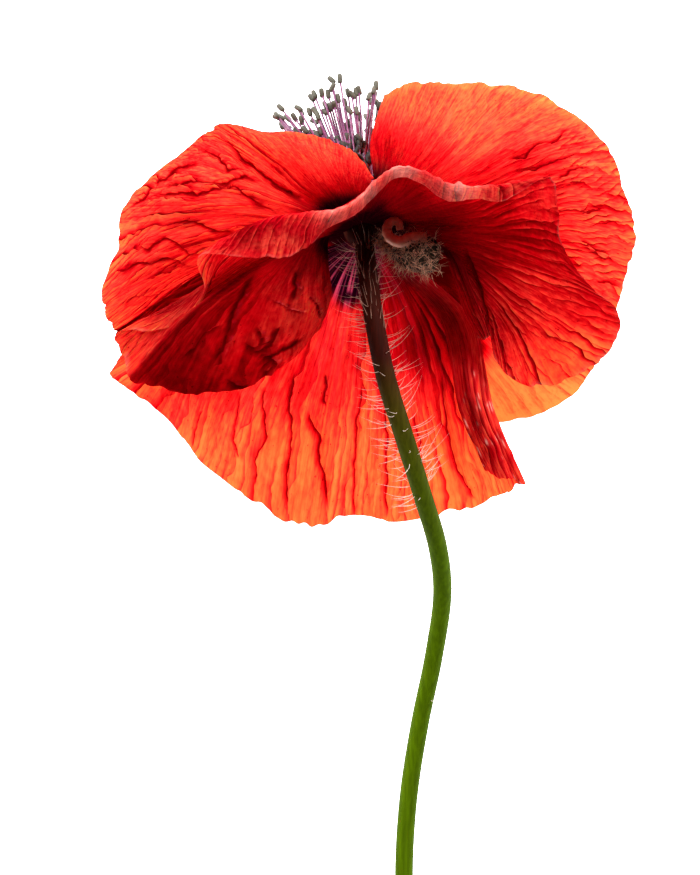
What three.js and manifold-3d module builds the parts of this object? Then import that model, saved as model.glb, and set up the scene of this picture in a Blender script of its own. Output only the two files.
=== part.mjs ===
// A common poppy flower, picked and laid on a flat surface with its back up.
// The stem rises behind the head and arches down to its cut end, which lies on the surface.
// Four crumpled petals spread from the receptacle. The two inner ones, left and right, dome down to
// margins that touch the surface. Of the two outer ones, one hangs under the stem in pleats, and the
// other stands up over it, with its margin rolled back and a wing falling to either side. One hairy
// sepal still hangs beside the stem. The pistil and its ring of stamens face away, under the petals.
// Millimetres, +Z up. Points are measured from the head, where the petals join the stem.
import * as THREE from "three";
import { mergeVertices } from "three/addons/utils/BufferGeometryUtils.js";
import Module from "manifold-3d";

const wasm = await Module();
wasm.setup();

// ---------------------------------------------------------------- driving dimensions
const HEAD = new THREE.Vector3(-0.9, 38.1, 18); // the head, from the middle of the flower's footprint
const AXIS = new THREE.Vector3(-0.16, 0.8, -0.58).normalize(); // from the stem out through the pistil
const SHEET = 0.6; // thickness of a petal or sepal
const STEM_RADIUS = 1.18;
const SEAT_GAP = 0.3; // between pieces that touch
const MERGE = 0.01; // edges shorter than this are closed up where pieces are fused
const RECEPTACLE_RADIUS = 2.0;
const RECEPTACLE_TOP = 1.3;
const RING_RADIUS = 2.5; // the ring that the stamens grow from
const RING_HEIGHT = 0.8;
const OVARY_RADIUS = 1.5;
const OVARY_LENGTH = 5.4;
const STAMENS = 40;
const STAMEN_LENGTH = 21;
const FILAMENT_RADIUS = 0.25;
const ANTHER_LENGTH = 1.6;
const ANTHER_RADIUS = 0.48;
const ROOT_RADIUS = 1.6; // of the inner row of filaments, at the ring
const ROW_STEP = 0.6; // every other filament stands this much further out
const WAIST_RADIUS = 2.4; // filaments pass the ovary this far from the axis, then lean out
const WAIST_HEIGHT = 7.6;
const UPRIGHT_LENGTH = 8; // of a filament, from its root to where it leans

// Two directions across the axis: RIGHT lies nearly level, and FRONT points up, off the surface.
const RIGHT = new THREE.Vector3(1, 0, 0).addScaledVector(AXIS, -AXIS.x).normalize();
const FRONT = new THREE.Vector3().crossVectors(RIGHT, AXIS).normalize();

const vec = ([x, y, z]) => new THREE.Vector3(x, y, z);

// A point at an angle in degrees round the axis, from FRONT towards RIGHT.
function around(degrees, radius, height) {
  const angle = THREE.MathUtils.degToRad(degrees);
  return new THREE.Vector3()
    .addScaledVector(FRONT, radius * Math.cos(angle))
    .addScaledVector(RIGHT, radius * Math.sin(angle))
    .addScaledVector(AXIS, height);
}

// ---------------------------------------------------------------- solids
function toSolid(geometry) {
  const bare = geometry.clone();
  bare.deleteAttribute("normal");
  bare.deleteAttribute("uv");
  const merged = mergeVertices(bare, 1e-4);
  return new wasm.Manifold(
    new wasm.Mesh({
      numProp: 3,
      vertProperties: new Float32Array(merged.attributes.position.array),
      triVerts: new Uint32Array(merged.index.array),
    }),
  );
}

function toGeometry(solid) {
  const mesh = solid.getMesh();
  const geometry = new THREE.BufferGeometry();
  geometry.setAttribute("position", new THREE.BufferAttribute(mesh.vertProperties, 3));
  geometry.setIndex(new THREE.BufferAttribute(mesh.triVerts, 1));
  return geometry;
}

function fuse(geometries) {
  return toGeometry(wasm.Manifold.union(geometries.map(toSolid)).simplify(MERGE));
}

// A rod with a few sides along a smooth curve through the points.
function rod(points, radius, sides, steps) {
  const section = new THREE.Shape();
  for (let k = 0; k < sides; k++) {
    const turn = (2 * Math.PI * k) / sides;
    const corner = [radius * Math.cos(turn), radius * Math.sin(turn)];
    if (k === 0) section.moveTo(...corner);
    else section.lineTo(...corner);
  }
  section.closePath();
  const extrudePath = new THREE.CatmullRomCurve3(points, false, "centripetal");
  return new THREE.ExtrudeGeometry(section, { extrudePath, steps });
}

// A turned piece: the profile's points are radius and height along the axis.
function turned(profile, sides) {
  const outline = profile.map(([radius, height]) => new THREE.Vector2(radius, height));
  const piece = new THREE.LatheGeometry(outline, sides);
  return piece.applyQuaternion(
    new THREE.Quaternion().setFromUnitVectors(new THREE.Vector3(0, 1, 0), AXIS),
  );
}

// A thin closed solid on both sides of a grid of points. Both faces are split into triangles alike.
function sheet(rows) {
  const along = rows.length;
  const across = rows[0].length;
  const clamp = THREE.MathUtils.clamp;
  const at = (i, j) => rows[clamp(i, 0, along - 1)][clamp(j, 0, across - 1)];
  const position = [];
  for (const side of [SHEET / 2, -SHEET / 2]) {
    for (let i = 0; i < along; i++) {
      for (let j = 0; j < across; j++) {
        const down = at(i + 1, j).clone().sub(at(i - 1, j));
        const over = at(i, j + 1).clone().sub(at(i, j - 1));
        const point = at(i, j).clone().addScaledVector(down.cross(over).normalize(), side);
        position.push(point.x, point.y, point.z);
      }
    }
  }
  const index = [];
  const back = along * across;
  for (let i = 0; i < along - 1; i++) {
    for (let j = 0; j < across - 1; j++) {
      const a = i * across + j;
      const [b, c, d] = [a + across, a + across + 1, a + 1];
      index.push(a, b, c, a, c, d);
      index.push(back + a, back + c, back + b, back + a, back + d, back + c);
    }
  }
  const rim = [];
  for (let j = 0; j < across - 1; j++) rim.push(j);
  for (let i = 0; i < along - 1; i++) rim.push(i * across + across - 1);
  for (let j = across - 1; j > 0; j--) rim.push((along - 1) * across + j);
  for (let i = along - 1; i > 0; i--) rim.push(i * across);
  rim.forEach((a, k) => {
    const b = rim[(k + 1) % rim.length];
    index.push(a, b, back + b, a, back + b, back + a);
  });
  const geometry = new THREE.BufferGeometry();
  geometry.setAttribute("position", new THREE.Float32BufferAttribute(position, 3));
  geometry.setIndex(index);
  return geometry;
}

// A fan of ribs from a narrow claw to the margin. Each rib is a smooth curve through its points,
// and smooth curves across the ribs make the sheet, which comes no lower than the surface.
function fan({ claw, ribs, along, across, pleats }) {
  const curves = ribs.map((rib, k) => {
    const degrees = THREE.MathUtils.lerp(claw.from, claw.to, k / (ribs.length - 1));
    const root = around(degrees, claw.radius, claw.height);
    return new THREE.CatmullRomCurve3([root, ...rib.map(vec)], false, "centripetal");
  });
  const floor = SHEET / 2 - HEAD.z;
  const rows = [];
  for (let i = 0; i <= along; i++) {
    const u = i / along;
    const points = curves.map((curve) => curve.getPoint(u));
    const line = new THREE.CatmullRomCurve3(points, false, "centripetal");
    const row = [];
    for (let j = 0; j <= across; j++) {
      const v = j / across;
      const point = line.getPoint(v);
      if (pleats) {
        const wave = Math.sin(2 * Math.PI * pleats.count * v + pleats.skew * u);
        point.z += pleats.depth * Math.pow(u, 1.3) * wave;
      }
      point.z = Math.max(point.z, floor);
      row.push(point);
    }
    rows.push(row);
  }
  return rows;
}

// ---------------------------------------------------------------- petals
// Outer petal that stands up over the stem. Its ribs run from the edge beside the stem on the left,
// round by the rolled margin above the stem, to the edge beside the stem on the right.
const RAISED = {
  claw: { from: -62, to: 62, radius: RECEPTACLE_RADIUS + SEAT_GAP, height: -0.9 },
  along: 15,
  across: 54,
  ribs: [
    // the left wing, from its edge beside the stem
    [[-4.2, -1.2, 3], [-4.4, -4.5, 3], [-4, -8.6, 0.5], [-5.5, -13.4, -3]],
    [[-5.6, -1.7, 5], [-6.6, -5.6, 4.5], [-7, -11, 0], [-9, -17.1, -4.6]],
    [[-6.6, -2, 7.5], [-9.4, -6.2, 6.5], [-12, -12.5, 1], [-14.6, -21.3, -5]],
    [[-7.4, -2.2, 10], [-12, -6.2, 9], [-17, -12.6, 4], [-21.5, -22.3, -5.6]],
    [[-7.8, -2.5, 12], [-13.2, -6.1, 11.5], [-20.5, -11.6, 7], [-27.5, -21.1, -5.8]],
    // the fold down the wing, out to its tip
    [[-8, -2.5, 13.4], [-13.6, -5.3, 13.8], [-21.6, -10.8, 9.6], [-30.8, -20.3, -4.4]],
    [[-8, -1.9, 14.2], [-13.6, -4.5, 13.6], [-22, -9.8, 8.2], [-31.8, -17.3, -4.2]],
    [[-7.8, -1.5, 15], [-13.8, -3.5, 14], [-22, -8.6, 8.4], [-33, -14.3, -3.5]],
    [[-7.6, -1.2, 15.6], [-14, -2.9, 14.8], [-20.5, -7.2, 10.5], [-27.6, -12.8, 2]],
    [[-7.4, -0.8, 16.2], [-14, -2.4, 15.8], [-18.6, -5.5, 13], [-22.4, -11.2, 7.5]],
    [[-7.2, -0.4, 16.6], [-14, -1.8, 17], [-18.4, -4, 15.4], [-20.6, -7.6, 10.5]],
    // the left corner, where the margin turns over
    [[-7, 0, 17], [-13.4, -1, 18.6], [-18.6, -2.4, 18.4], [-21.8, -4.5, 15]],
    [[-6.6, 0.4, 17.4], [-11.6, -0.1, 20], [-16.6, -1.1, 21.4], [-19.4, -3.9, 19.6]],
    [[-6, 0.8, 17.6], [-9.6, 0.7, 21.4], [-13.4, 0.3, 23.2], [-15.4, -4.3, 21.6]],
    [[-5, 1.2, 17.6], [-7.6, 1.1, 22.2], [-10, 1, 24.6], [-11, -4.6, 22.6]],
    // the rolled margin above the stem
    [[-4, 1.6, 17.4], [-5.2, 1.5, 22.6], [-6.4, 1.4, 25.2], [-7.6, -3.7, 23.6]],
    [[-2.6, 2.2, 17.2], [-3, 2.1, 22.8], [-3.6, 1.6, 25.8], [-4.8, -0.8, 24.6]],
    [[-0.6, 3.5, 17], [-0.6, 3.5, 22.8], [-0.6, 3, 26.4], [-1, 1, 25.4]],
    [[1.4, 4.4, 16.8], [1.6, 5.3, 22.8], [2, 5.6, 26.8], [1.6, 3.4, 26]],
    [[3.4, 4.8, 16.6], [4, 6.5, 22.8], [5, 7.4, 27], [4.8, 6, 26.6]],
    [[5.6, 4.6, 16.4], [6.8, 6.2, 22.4], [8.4, 6.6, 26.4], [8, 5, 26]],
    [[7.6, 4.1, 15.8], [9.6, 5.1, 21.6], [11.4, 5.2, 25], [11, 3, 24.4]],
    [[9.4, 3.6, 14.8], [12.4, 4.4, 20], [14.8, 4.9, 23.4], [14.8, 3.3, 22.6]],
    [[10.8, 2.9, 13.6], [14.8, 3.9, 18.4], [18, 5.1, 21.4], [18.6, 3.1, 20.6]],
    // the right corner
    [[11.8, 2.1, 12.2], [16.6, 3.5, 16.2], [20.8, 5.6, 18.6], [24.8, 6.4, 17]],
    [[12.4, 1, 10.6], [17.6, 1.8, 13.8], [22.2, 3.1, 14.6], [26, 2.1, 12.6]],
    // the right wing
    [[12.4, -0.6, 9.6], [18, -0.5, 11.4], [22.8, -0.7, 11.2], [27, -3.2, 8.6]],
    [[12.6, -1.6, 8.6], [18.6, -2.6, 9.4], [24.8, -4.8, 7.8], [31, -8.2, 3.6]],
    [[12.8, -2.6, 7.8], [19, -4.8, 7.6], [26.4, -8.1, 4.6], [34.8, -11.8, -0.8]],
    [[12.8, -3.4, 7.2], [18.8, -6.7, 6], [26, -11.4, 2], [33.4, -16.5, -4.8]],
    [[12.8, -4, 6.6], [18.2, -8.1, 5], [23.8, -13.2, 0.6], [30, -19.3, -6]],
    [[12.6, -4.3, 6.2], [17.4, -9.1, 4.2], [21.4, -14.4, -0.4], [24.6, -21.3, -5]],
    [[12.4, -4.5, 6], [16.4, -9.5, 4], [19, -14.2, 0.6], [20.4, -20.2, -2.5]],
    [[12.2, -4.5, 6], [15.6, -9.5, 4.4], [17.2, -13.4, 2], [17.8, -17.4, 0.8]],
    // its inner edge, rolled under
    [[11.4, -4.1, 5.4], [13.8, -8.5, 4.8], [15.4, -11.8, 3], [16.8, -14.8, 1.4]],
    [[10.6, -3, 3.8], [12.4, -6.8, 3.2], [13.6, -10, 1.4], [15.4, -13.4, 0.2]],
    [[9.6, -2.4, 1.8], [12, -5.6, 1], [14.2, -9, -0.2], [16.2, -13, -0.6]],
  ],
};

// Outer petal that hangs under the stem, pleated, with its right edge folded forward.
const HANGING = {
  claw: { from: 122, to: 238, radius: RECEPTACLE_RADIUS + SEAT_GAP, height: -0.9 },
  along: 14,
  across: 52,
  pleats: { count: 9, depth: 0.55, skew: 1.5 },
  ribs: [
    // the flap folded forward, from its free edge to the fold
    [[4.6, -5.6, -3], [10.4, -11.8, -3.6], [13.2, -24.4, -1.6], [16.8, -33.1, -6.4]],
    [[6.2, -5.4, -3.4], [12.8, -12, -3.6], [15.2, -23.6, -1.8], [19.4, -33.6, -6.6]],
    [[7.6, -5.3, -4.2], [15, -12.3, -4.8], [17.4, -23.8, -3.4], [22, -34, -8]],
    [[7.4, -6.1, -5.4], [14, -13.6, -7], [16.8, -24.4, -6.8], [21.2, -34.5, -11]],
    // the pleated blade
    [[6.2, -6.7, -5.2], [11.6, -14.8, -7], [15, -25.4, -8.6], [18.9, -35.7, -13]],
    [[5.2, -7.1, -5], [9.2, -15.8, -6.8], [11.8, -26.4, -9.8], [14.8, -37.3, -15.4]],
    [[3.6, -7.3, -4.7], [6, -16.4, -6.5], [7.6, -27.2, -10], [8.6, -38.4, -16.8]],
    [[1.6, -7.5, -4.4], [2.4, -16.9, -6.2], [2.6, -27.8, -10], [2, -39, -17.7]],
    [[-0.4, -7.5, -4.4], [-1.4, -16.9, -6.2], [-2.6, -27.8, -10.2], [-4.2, -39.7, -17.7]],
    [[-2.4, -7.3, -4.4], [-5, -16.7, -6.4], [-7.8, -27.4, -10.4], [-9.9, -38.7, -17.7]],
    [[-4.4, -6.9, -4.6], [-8.8, -15.8, -6.8], [-12.8, -25.7, -10.8], [-14.6, -35.3, -17.4]],
    [[-6.2, -6.5, -5], [-12.4, -14.6, -7.4], [-17.6, -23.3, -11.4], [-20.6, -32.4, -17]],
    [[-7.6, -5.9, -5.4], [-15.4, -13, -8], [-21.6, -20.3, -12], [-24.3, -27.6, -16.6]],
    [[-8.4, -5.1, -6], [-17.2, -11.2, -8.4], [-25, -16.7, -12.2], [-29.2, -22.2, -16]],
    [[-8.6, -4.3, -6.2], [-17.4, -9.6, -8.6], [-25.6, -14.5, -12], [-33.5, -19.2, -15.4]],
    [[-8.4, -3.7, -6.4], [-16.6, -8.2, -8.8], [-24.6, -12.5, -11.6], [-32.2, -16.9, -14.8]],
  ],
};

// Inner petal that domes down to the left, with a crease across its upper part.
const LEFT = {
  claw: { from: 204, to: 344, radius: RECEPTACLE_RADIUS + SEAT_GAP, height: 0.6 },
  along: 14,
  across: 44,
  ribs: [
    // the lower edge, under the hanging petal
    [[-4.4, -4.2, -7.4], [-9, -9.1, -12], [-18, -16.2, -17.7], [-22, -19.2, -17.7]],
    [[-5.6, -3.6, -7.4], [-12, -7.9, -12], [-24.4, -14.6, -17.7], [-29, -17, -17.7]],
    [[-6.6, -2.9, -6.4], [-14.6, -6.2, -10.4], [-23.6, -9.5, -13.8], [-32.8, -14.4, -17.6]],
    // the lower shoulder
    [[-7.2, -2, -3.6], [-16, -4.2, -3.8], [-24, -7.1, -6.2], [-33.9, -12.8, -15.6]],
    [[-7.4, -1.2, -1.6], [-16, -3, -0.2], [-25, -6, -2.6], [-34.7, -10.8, -15.6]],
    [[-7.6, -0.4, 0.2], [-16.4, -1.2, 2], [-26, -3.4, -0.6], [-35, -8, -16]],
    // the dome
    [[-7.6, 0.6, 1.6], [-16.4, 1, 3.2], [-25.4, -0.2, 0.4], [-33, -2, -16.6]],
    [[-7.4, 1.4, 2.2], [-16, 2.8, 3.8], [-24.2, 3, 0.8], [-32.2, 3.2, -17.4]],
    [[-7, 2, 2.2], [-15, 4.6, 3.6], [-22, 6, 0.6], [-28.6, 7.2, -17.7]],
    [[-6.4, 2.4, 1.6], [-13.4, 6, 2.4], [-19.4, 8.6, -0.2], [-24, 10.7, -15]],
    // the crease
    [[-5.8, 2.8, 0.4], [-11.4, 6.4, 0.6], [-16.4, 10, -1], [-20.8, 13.2, -9.6]],
    [[-5.4, 3.6, 1.2], [-10.2, 7.6, 1.8], [-14.6, 11.4, 0.4], [-18.2, 14.3, -5.6]],
    // the flap above it, beside the stamens
    [[-4.6, 4.4, 3], [-8.4, 8.4, 3.8], [-11.6, 11.6, 2.2], [-13.6, 13.1, -2]],
    [[-3.4, 4.7, 4], [-6, 8.3, 5], [-8, 10.9, 4.2], [-9, 12.8, 0.6]],
    [[-2, 4.7, 4.4], [-3.6, 7.5, 5.6], [-4.6, 9.7, 5.2], [-5, 12, 2.6]],
    [[-0.8, 4.3, 4.6], [-1.4, 6.3, 6], [-1.4, 8.3, 6.2], [-1.3, 10.5, 4.8]],
    [[0.2, 3.7, 4.4], [0.8, 4.9, 5.6], [1.2, 5.9, 6.2], [1.8, 6.7, 6]],
  ],
};

// Inner petal that domes down to the right, from its edge beside the stamens.
const RIGHT_PETAL = {
  claw: { from: 16, to: 156, radius: RECEPTACLE_RADIUS + SEAT_GAP, height: 0.6 },
  along: 14,
  across: 40,
  ribs: [
    [[1.2, 3.6, 2.4], [1.6, 6.6, 3], [1.2, 11, 2.2], [3.2, 18.4, -3]],
    [[2.2, 4, 2.6], [3.6, 8.2, 3.6], [5, 13.6, 2.2], [7, 19.7, -5]],
    [[3.2, 4, 2.8], [6, 8.5, 4], [9, 14, 1.8], [12, 19.8, -8]],
    [[4.4, 3.8, 3], [8.6, 8.3, 4], [13, 13.6, 1.6], [17.4, 19.8, -10.6]],
    [[5.4, 3.4, 3], [11, 7.7, 4], [16.8, 12.8, 1.6], [23.6, 18.7, -13]],
    [[6.2, 3, 3], [13, 6.8, 3.6], [20.4, 11.4, 1.2], [29, 15.6, -15.4]],
    [[6.8, 2.4, 2.8], [14.6, 5.4, 3.4], [23.4, 8.8, 1], [33.4, 11.4, -17.5]],
    [[7.2, 1.6, 2.4], [15.6, 3.6, 2.8], [25, 5.4, 0.6], [35.6, 5.8, -17.7]],
    [[7.4, 0.8, 1.6], [16, 1.6, 1.8], [25.6, 1.8, -0.4], [37.2, -0.2, -17.7]],
    [[7.4, -0.4, 0.4], [16, -0.8, 0.2], [25.6, -2, -2.2], [36.1, -5.4, -17.4]],
    [[7.2, -1.6, -1.2], [15.6, -3.4, -2], [25, -6.3, -5], [34.3, -11.4, -17]],
    [[6.8, -3, -3.6], [14.8, -6.1, -5.4], [23.6, -10.8, -9], [32.4, -17, -17.2]],
    [[6.2, -3.9, -5.8], [13.6, -8.6, -8.8], [25, -18.4, -17.7], [28.9, -22, -17.7]],
    [[5.2, -4.4, -7.4], [12, -10.7, -11.6], [20.6, -21, -17.7], [23.7, -24.9, -17.7]],
    [[4, -4.6, -8.4], [10.4, -11.9, -13.4], [16, -21, -17.7], [18.2, -26, -17.7]],
  ],
};

// ---------------------------------------------------------------- stem and receptacle
const STEM_PATH = [
  [0.16, -0.8, 0.58],
  [0.6, -3.9, 2.6],
  [1.5, -11, 5.6],
  [3.2, -19.7, 6.2],
  [5.8, -28.1, 4.4],
  [8.3, -36, 0.4],
  [10.2, -42.4, -4],
  [10.9, -48.8, -8.4],
  [9.8, -57.3, -12.4],
  [7.9, -66.7, -14.8],
  [6.4, -76.6, -16.2],
  [5.8, -87, STEM_RADIUS - HEAD.z],
  [6.2, -97, STEM_RADIUS - HEAD.z],
];

function stem() {
  const shaft = rod(STEM_PATH.map(vec), STEM_RADIUS, 10, 46);
  // The receptacle: the stem's swollen end, which carries the petals, the stamens and the pistil.
  const receptacle = turned(
    [
      [0, -2.6],
      [1.3, -2.6],
      [1.75, -1.9],
      [RECEPTACLE_RADIUS, -1.2],
      [RECEPTACLE_RADIUS, 0.9],
      [1.7, RECEPTACLE_TOP],
      [0, RECEPTACLE_TOP],
    ],
    16,
  );
  return fuse([shaft, receptacle]);
}

// ---------------------------------------------------------------- sepal
// The one sepal that hasn't fallen: a hairy boat, hanging from the receptacle on the right, whose
// smooth inner face shows where its upper edge turns over and ends in a curl.
const SEPAL = {
  claw: { from: 108, to: 84, radius: RECEPTACLE_RADIUS + SEAT_GAP, height: -1.6 },
  along: 9,
  across: 12,
  ribs: [
    [[3.3, -2.8, 2.2], [5.6, -5.2, 4.6], [8.6, -6.2, 4.8]],
    [[3.5, -2.7, 3.8], [6, -4.7, 7], [9.8, -5.4, 6.4]],
    [[3.6, -2.3, 4.8], [6.4, -3.4, 8.2], [10.4, -3.8, 7.4]],
    [[3.5, -1.8, 5], [6.4, -2, 8.2], [10, -2, 7.6]],
    [[3.3, -1.6, 4.6], [6, -1.4, 7.4], [8.6, -1.2, 7.2]],
  ],
};
const CURL = [
  [8.4, -1.5, 7.5],
  [6.6, -1.5, 8.3],
  [5.2, -2, 8.5],
  [4, -1.6, 8.2],
  [3.4, -0.6, 7.8],
  [3.6, 0.4, 7.4],
  [4.4, 0.8, 7.2],
  [5, 0.4, 7.2],
  [5.1, -0.4, 7.2],
];
const CURL_RADIUS = 0.5;

function sepal() {
  return fuse([sheet(fan(SEPAL)), rod(CURL.map(vec), CURL_RADIUS, 6, 16)]);
}

// ---------------------------------------------------------------- pistil and stamens
// The ovary, with its lid of stigmas, stands on the receptacle through the middle of the ring.
function pistil() {
  const base = RECEPTACLE_TOP + SEAT_GAP;
  const shoulder = base + RING_HEIGHT + SEAT_GAP;
  const lid = shoulder + OVARY_LENGTH;
  return turned(
    [
      [0, base],
      [0.9, base],
      [0.9, shoulder],
      [OVARY_RADIUS, shoulder + 1.2],
      [OVARY_RADIUS, lid - 1.6],
      [1.1, lid - 0.4],
      [1.8, lid],
      [1.8, lid + 0.5],
      [0.8, lid + 0.9],
      [0, lid + 0.9],
    ],
    12,
  );
}

// A fixed sequence of numbers from 0 to 1.
function sequence(seed) {
  let state = seed;
  return () => {
    state = (state * 1664525 + 1013904223) % 4294967296;
    return state / 4294967296;
  };
}

// Filaments stand all round the ring. They lean out past the ovary, further to the left, where the
// petals leave room. Each carries an anther at its tip.
function stamens() {
  const next = sequence(7);
  const base = RECEPTACLE_TOP + SEAT_GAP;
  const top = base + RING_HEIGHT;
  const ring = turned(
    [
      [1.2, base],
      [RING_RADIUS, base],
      [RING_RADIUS, top],
      [1.2, top],
      [1.2, base],
    ],
    12,
  );
  const pieces = [ring];
  for (let k = 0; k < STAMENS; k++) {
    const degrees = (360 * (k + 0.3 * next())) / STAMENS;
    const reach = 0.3 + 0.7 * next();
    const turn = THREE.MathUtils.degToRad(degrees);
    const sideways = THREE.MathUtils.degToRad(-3 + 28 * reach * Math.sin(turn));
    const upward = THREE.MathUtils.degToRad(5 + 17 * reach * Math.cos(turn));
    const lean = AXIS.clone()
      .addScaledVector(RIGHT, Math.tan(sideways))
      .addScaledVector(FRONT, Math.tan(upward))
      .normalize();
    const length = STAMEN_LENGTH * (0.74 + 0.26 * next());
    const row = (k % 2) * ROW_STEP;
    const root = around(degrees, ROOT_RADIUS + row, base + 0.3);
    const waist = around(degrees, WAIST_RADIUS + row, WAIST_HEIGHT).addScaledVector(lean, 1);
    const tip = waist.clone().addScaledVector(lean, length - UPRIGHT_LENGTH);
    pieces.push(rod([root, waist, tip], FILAMENT_RADIUS, 3, 3));
    const anther = new THREE.SphereGeometry(1, 5, 3);
    anther.scale(ANTHER_RADIUS, ANTHER_LENGTH / 2, ANTHER_RADIUS);
    anther.applyQuaternion(new THREE.Quaternion().setFromUnitVectors(new THREE.Vector3(0, 1, 0), lean));
    anther.translate(tip.x, tip.y, tip.z);
    pieces.push(anther);
  }
  return fuse(pieces);
}

// ---------------------------------------------------------------- build
const flower = new THREE.Group();
flower.position.copy(HEAD);

function add(name, geometry, color, roughness) {
  geometry.computeVertexNormals();
  const material = new THREE.MeshStandardMaterial({ color, roughness, metalness: 0 });
  const mesh = new THREE.Mesh(geometry, material);
  mesh.name = name;
  flower.add(mesh);
}

add("petal_outer_raised", sheet(fan(RAISED)), 0xc4141c, 0.55);
add("petal_outer_hanging", sheet(fan(HANGING)), 0xf0552a, 0.55);
add("petal_inner_left", sheet(fan(LEFT)), 0xe8352a, 0.55);
add("petal_inner_right", sheet(fan(RIGHT_PETAL)), 0xf25a30, 0.55);
add("stem", stem(), 0x4f6a14, 0.6);
add("sepal", sepal(), 0x8a6a4c, 0.8);
add("pistil", pistil(), 0x9aa860, 0.6);
add("stamens", stamens(), 0x2e2a2c, 0.7);

export default flower;
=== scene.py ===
import math

import bmesh
import bpy
import numpy as np
from mathutils import Matrix, Vector


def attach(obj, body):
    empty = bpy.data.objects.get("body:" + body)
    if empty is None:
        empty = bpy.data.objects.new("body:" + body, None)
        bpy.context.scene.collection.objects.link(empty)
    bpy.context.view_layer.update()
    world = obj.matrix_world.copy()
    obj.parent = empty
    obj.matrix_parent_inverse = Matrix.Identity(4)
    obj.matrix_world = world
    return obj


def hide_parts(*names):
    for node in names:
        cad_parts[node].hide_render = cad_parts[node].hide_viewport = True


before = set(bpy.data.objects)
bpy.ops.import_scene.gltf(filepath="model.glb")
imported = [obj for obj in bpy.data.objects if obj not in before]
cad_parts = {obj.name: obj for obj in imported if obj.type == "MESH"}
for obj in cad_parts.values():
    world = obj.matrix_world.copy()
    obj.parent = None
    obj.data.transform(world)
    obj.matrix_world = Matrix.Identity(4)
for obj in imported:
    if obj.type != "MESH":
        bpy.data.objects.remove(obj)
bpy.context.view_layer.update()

# ---------------------------------------------------------------- raised outer petal
# One of the two outer petals: a sheet of tissue about a tenth of a millimetre thick, crumpled by its
# time in the bud. It grows from the receptacle on a narrow claw, and stands up over the stem. Its
# margin is rolled back, and it has a wing to each side.

MM = 0.001  # m
HEAD = np.array([-0.9, 38.1, 18.0])  # mm, where the petals join the stem: points count from it
TISSUE = 0.13  # mm, thickness of a petal
CLAW_RING = 2.3  # mm, radius of the ring that the claws grow from
PETAL_LENGTH = 38  # mm, about what every petal measures from its claw to its margin
FLOOR = 0.2 - HEAD[2]  # mm, the lowest that the middle of a petal comes


def unit(vector):
    vector = np.asarray(vector, float)
    return vector / np.linalg.norm(vector, axis=-1, keepdims=True)


AXIS = unit([-0.16, 0.8, -0.58])  # from the stem out through the pistil
RIGHT = unit(np.array([1.0, 0.0, 0.0]) - AXIS * AXIS[0])
FRONT = np.cross(RIGHT, AXIS)


def around(degrees, radius, height):
    """A point at an angle round the axis, from FRONT towards RIGHT."""
    angle = math.radians(degrees)
    return FRONT * radius * math.cos(angle) + RIGHT * radius * math.sin(angle) + AXIS * height


def smooth_curves(knots, t):
    """Points at t, from 0 to 1, along a smooth curve through each row of knots."""
    before = 2 * knots[:, :1] - knots[:, 1:2]
    after = 2 * knots[:, -1:] - knots[:, -2:-1]
    padded = np.concatenate([before, knots, after], axis=1)
    spans = knots.shape[1] - 1
    span = np.minimum((t * spans).astype(int), spans - 1)
    w = (t * spans - span)[None, :, None]
    p0, p1, p2, p3 = (padded[:, span + k] for k in range(4))
    d0, d1, d2 = (
        np.sqrt(np.linalg.norm(b - a, axis=2, keepdims=True))
        for a, b in ((p0, p1), (p1, p2), (p2, p3))
    )
    start = ((p1 - p0) / d0 - (p2 - p0) / (d0 + d1) + (p2 - p1) / d1) * d1
    end = ((p2 - p1) / d1 - (p3 - p1) / (d1 + d2) + (p3 - p2) / d2) * d1
    bend = -3 * p1 + 3 * p2 - 2 * start - end
    return p1 + start * w + bend * w**2 + (2 * p1 - 2 * p2 + start + end) * w**3


def fan(claw, ribs, along, across):
    """A sheet from a narrow claw out to the margin, on smooth ribs.

    claw is the degrees that it starts and ends at, and its height in mm along AXIS. The sheet has
    that many faces along its ribs and across them.
    """
    turns = np.linspace(claw[0], claw[1], len(ribs))
    roots = [around(turn, CLAW_RING, claw[2]) for turn in turns]
    knots = np.array([[root, *rib] for root, rib in zip(roots, ribs)], float)
    rows = smooth_curves(knots, np.linspace(0, 1, along + 1)).transpose(1, 0, 2)
    return smooth_curves(rows, np.linspace(0, 1, across + 1))


def grain(x, y, seed):
    """Smooth noise of about -1 to 1, one swing to a cell."""
    cells = 256  # each way, before the noise repeats
    angles = np.random.default_rng(seed).uniform(0, 2 * math.pi, (cells, cells))
    x, y = np.broadcast_arrays(x, y)
    column, row = np.floor(x).astype(int), np.floor(y).astype(int)
    fx, fy = x - column, y - row

    def corner(dx, dy):
        angle = angles[(column + dx) % cells, (row + dy) % cells]
        return np.cos(angle) * (fx - dx) + np.sin(angle) * (fy - dy)

    wx, wy = fx**3 * (fx * (6 * fx - 15) + 10), fy**3 * (fy * (6 * fy - 15) + 10)
    near = corner(0, 0) * (1 - wx) + corner(1, 0) * wx
    far = corner(0, 1) * (1 - wx) + corner(1, 1) * wx
    return 1.5 * (near * (1 - wy) + far * wy)


def step(value, low, high):
    """0 at low, 1 at high, and smooth between. low may be the larger."""
    t = np.clip((value - low) / (high - low), 0, 1)
    return t * t * (3 - 2 * t)


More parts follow.
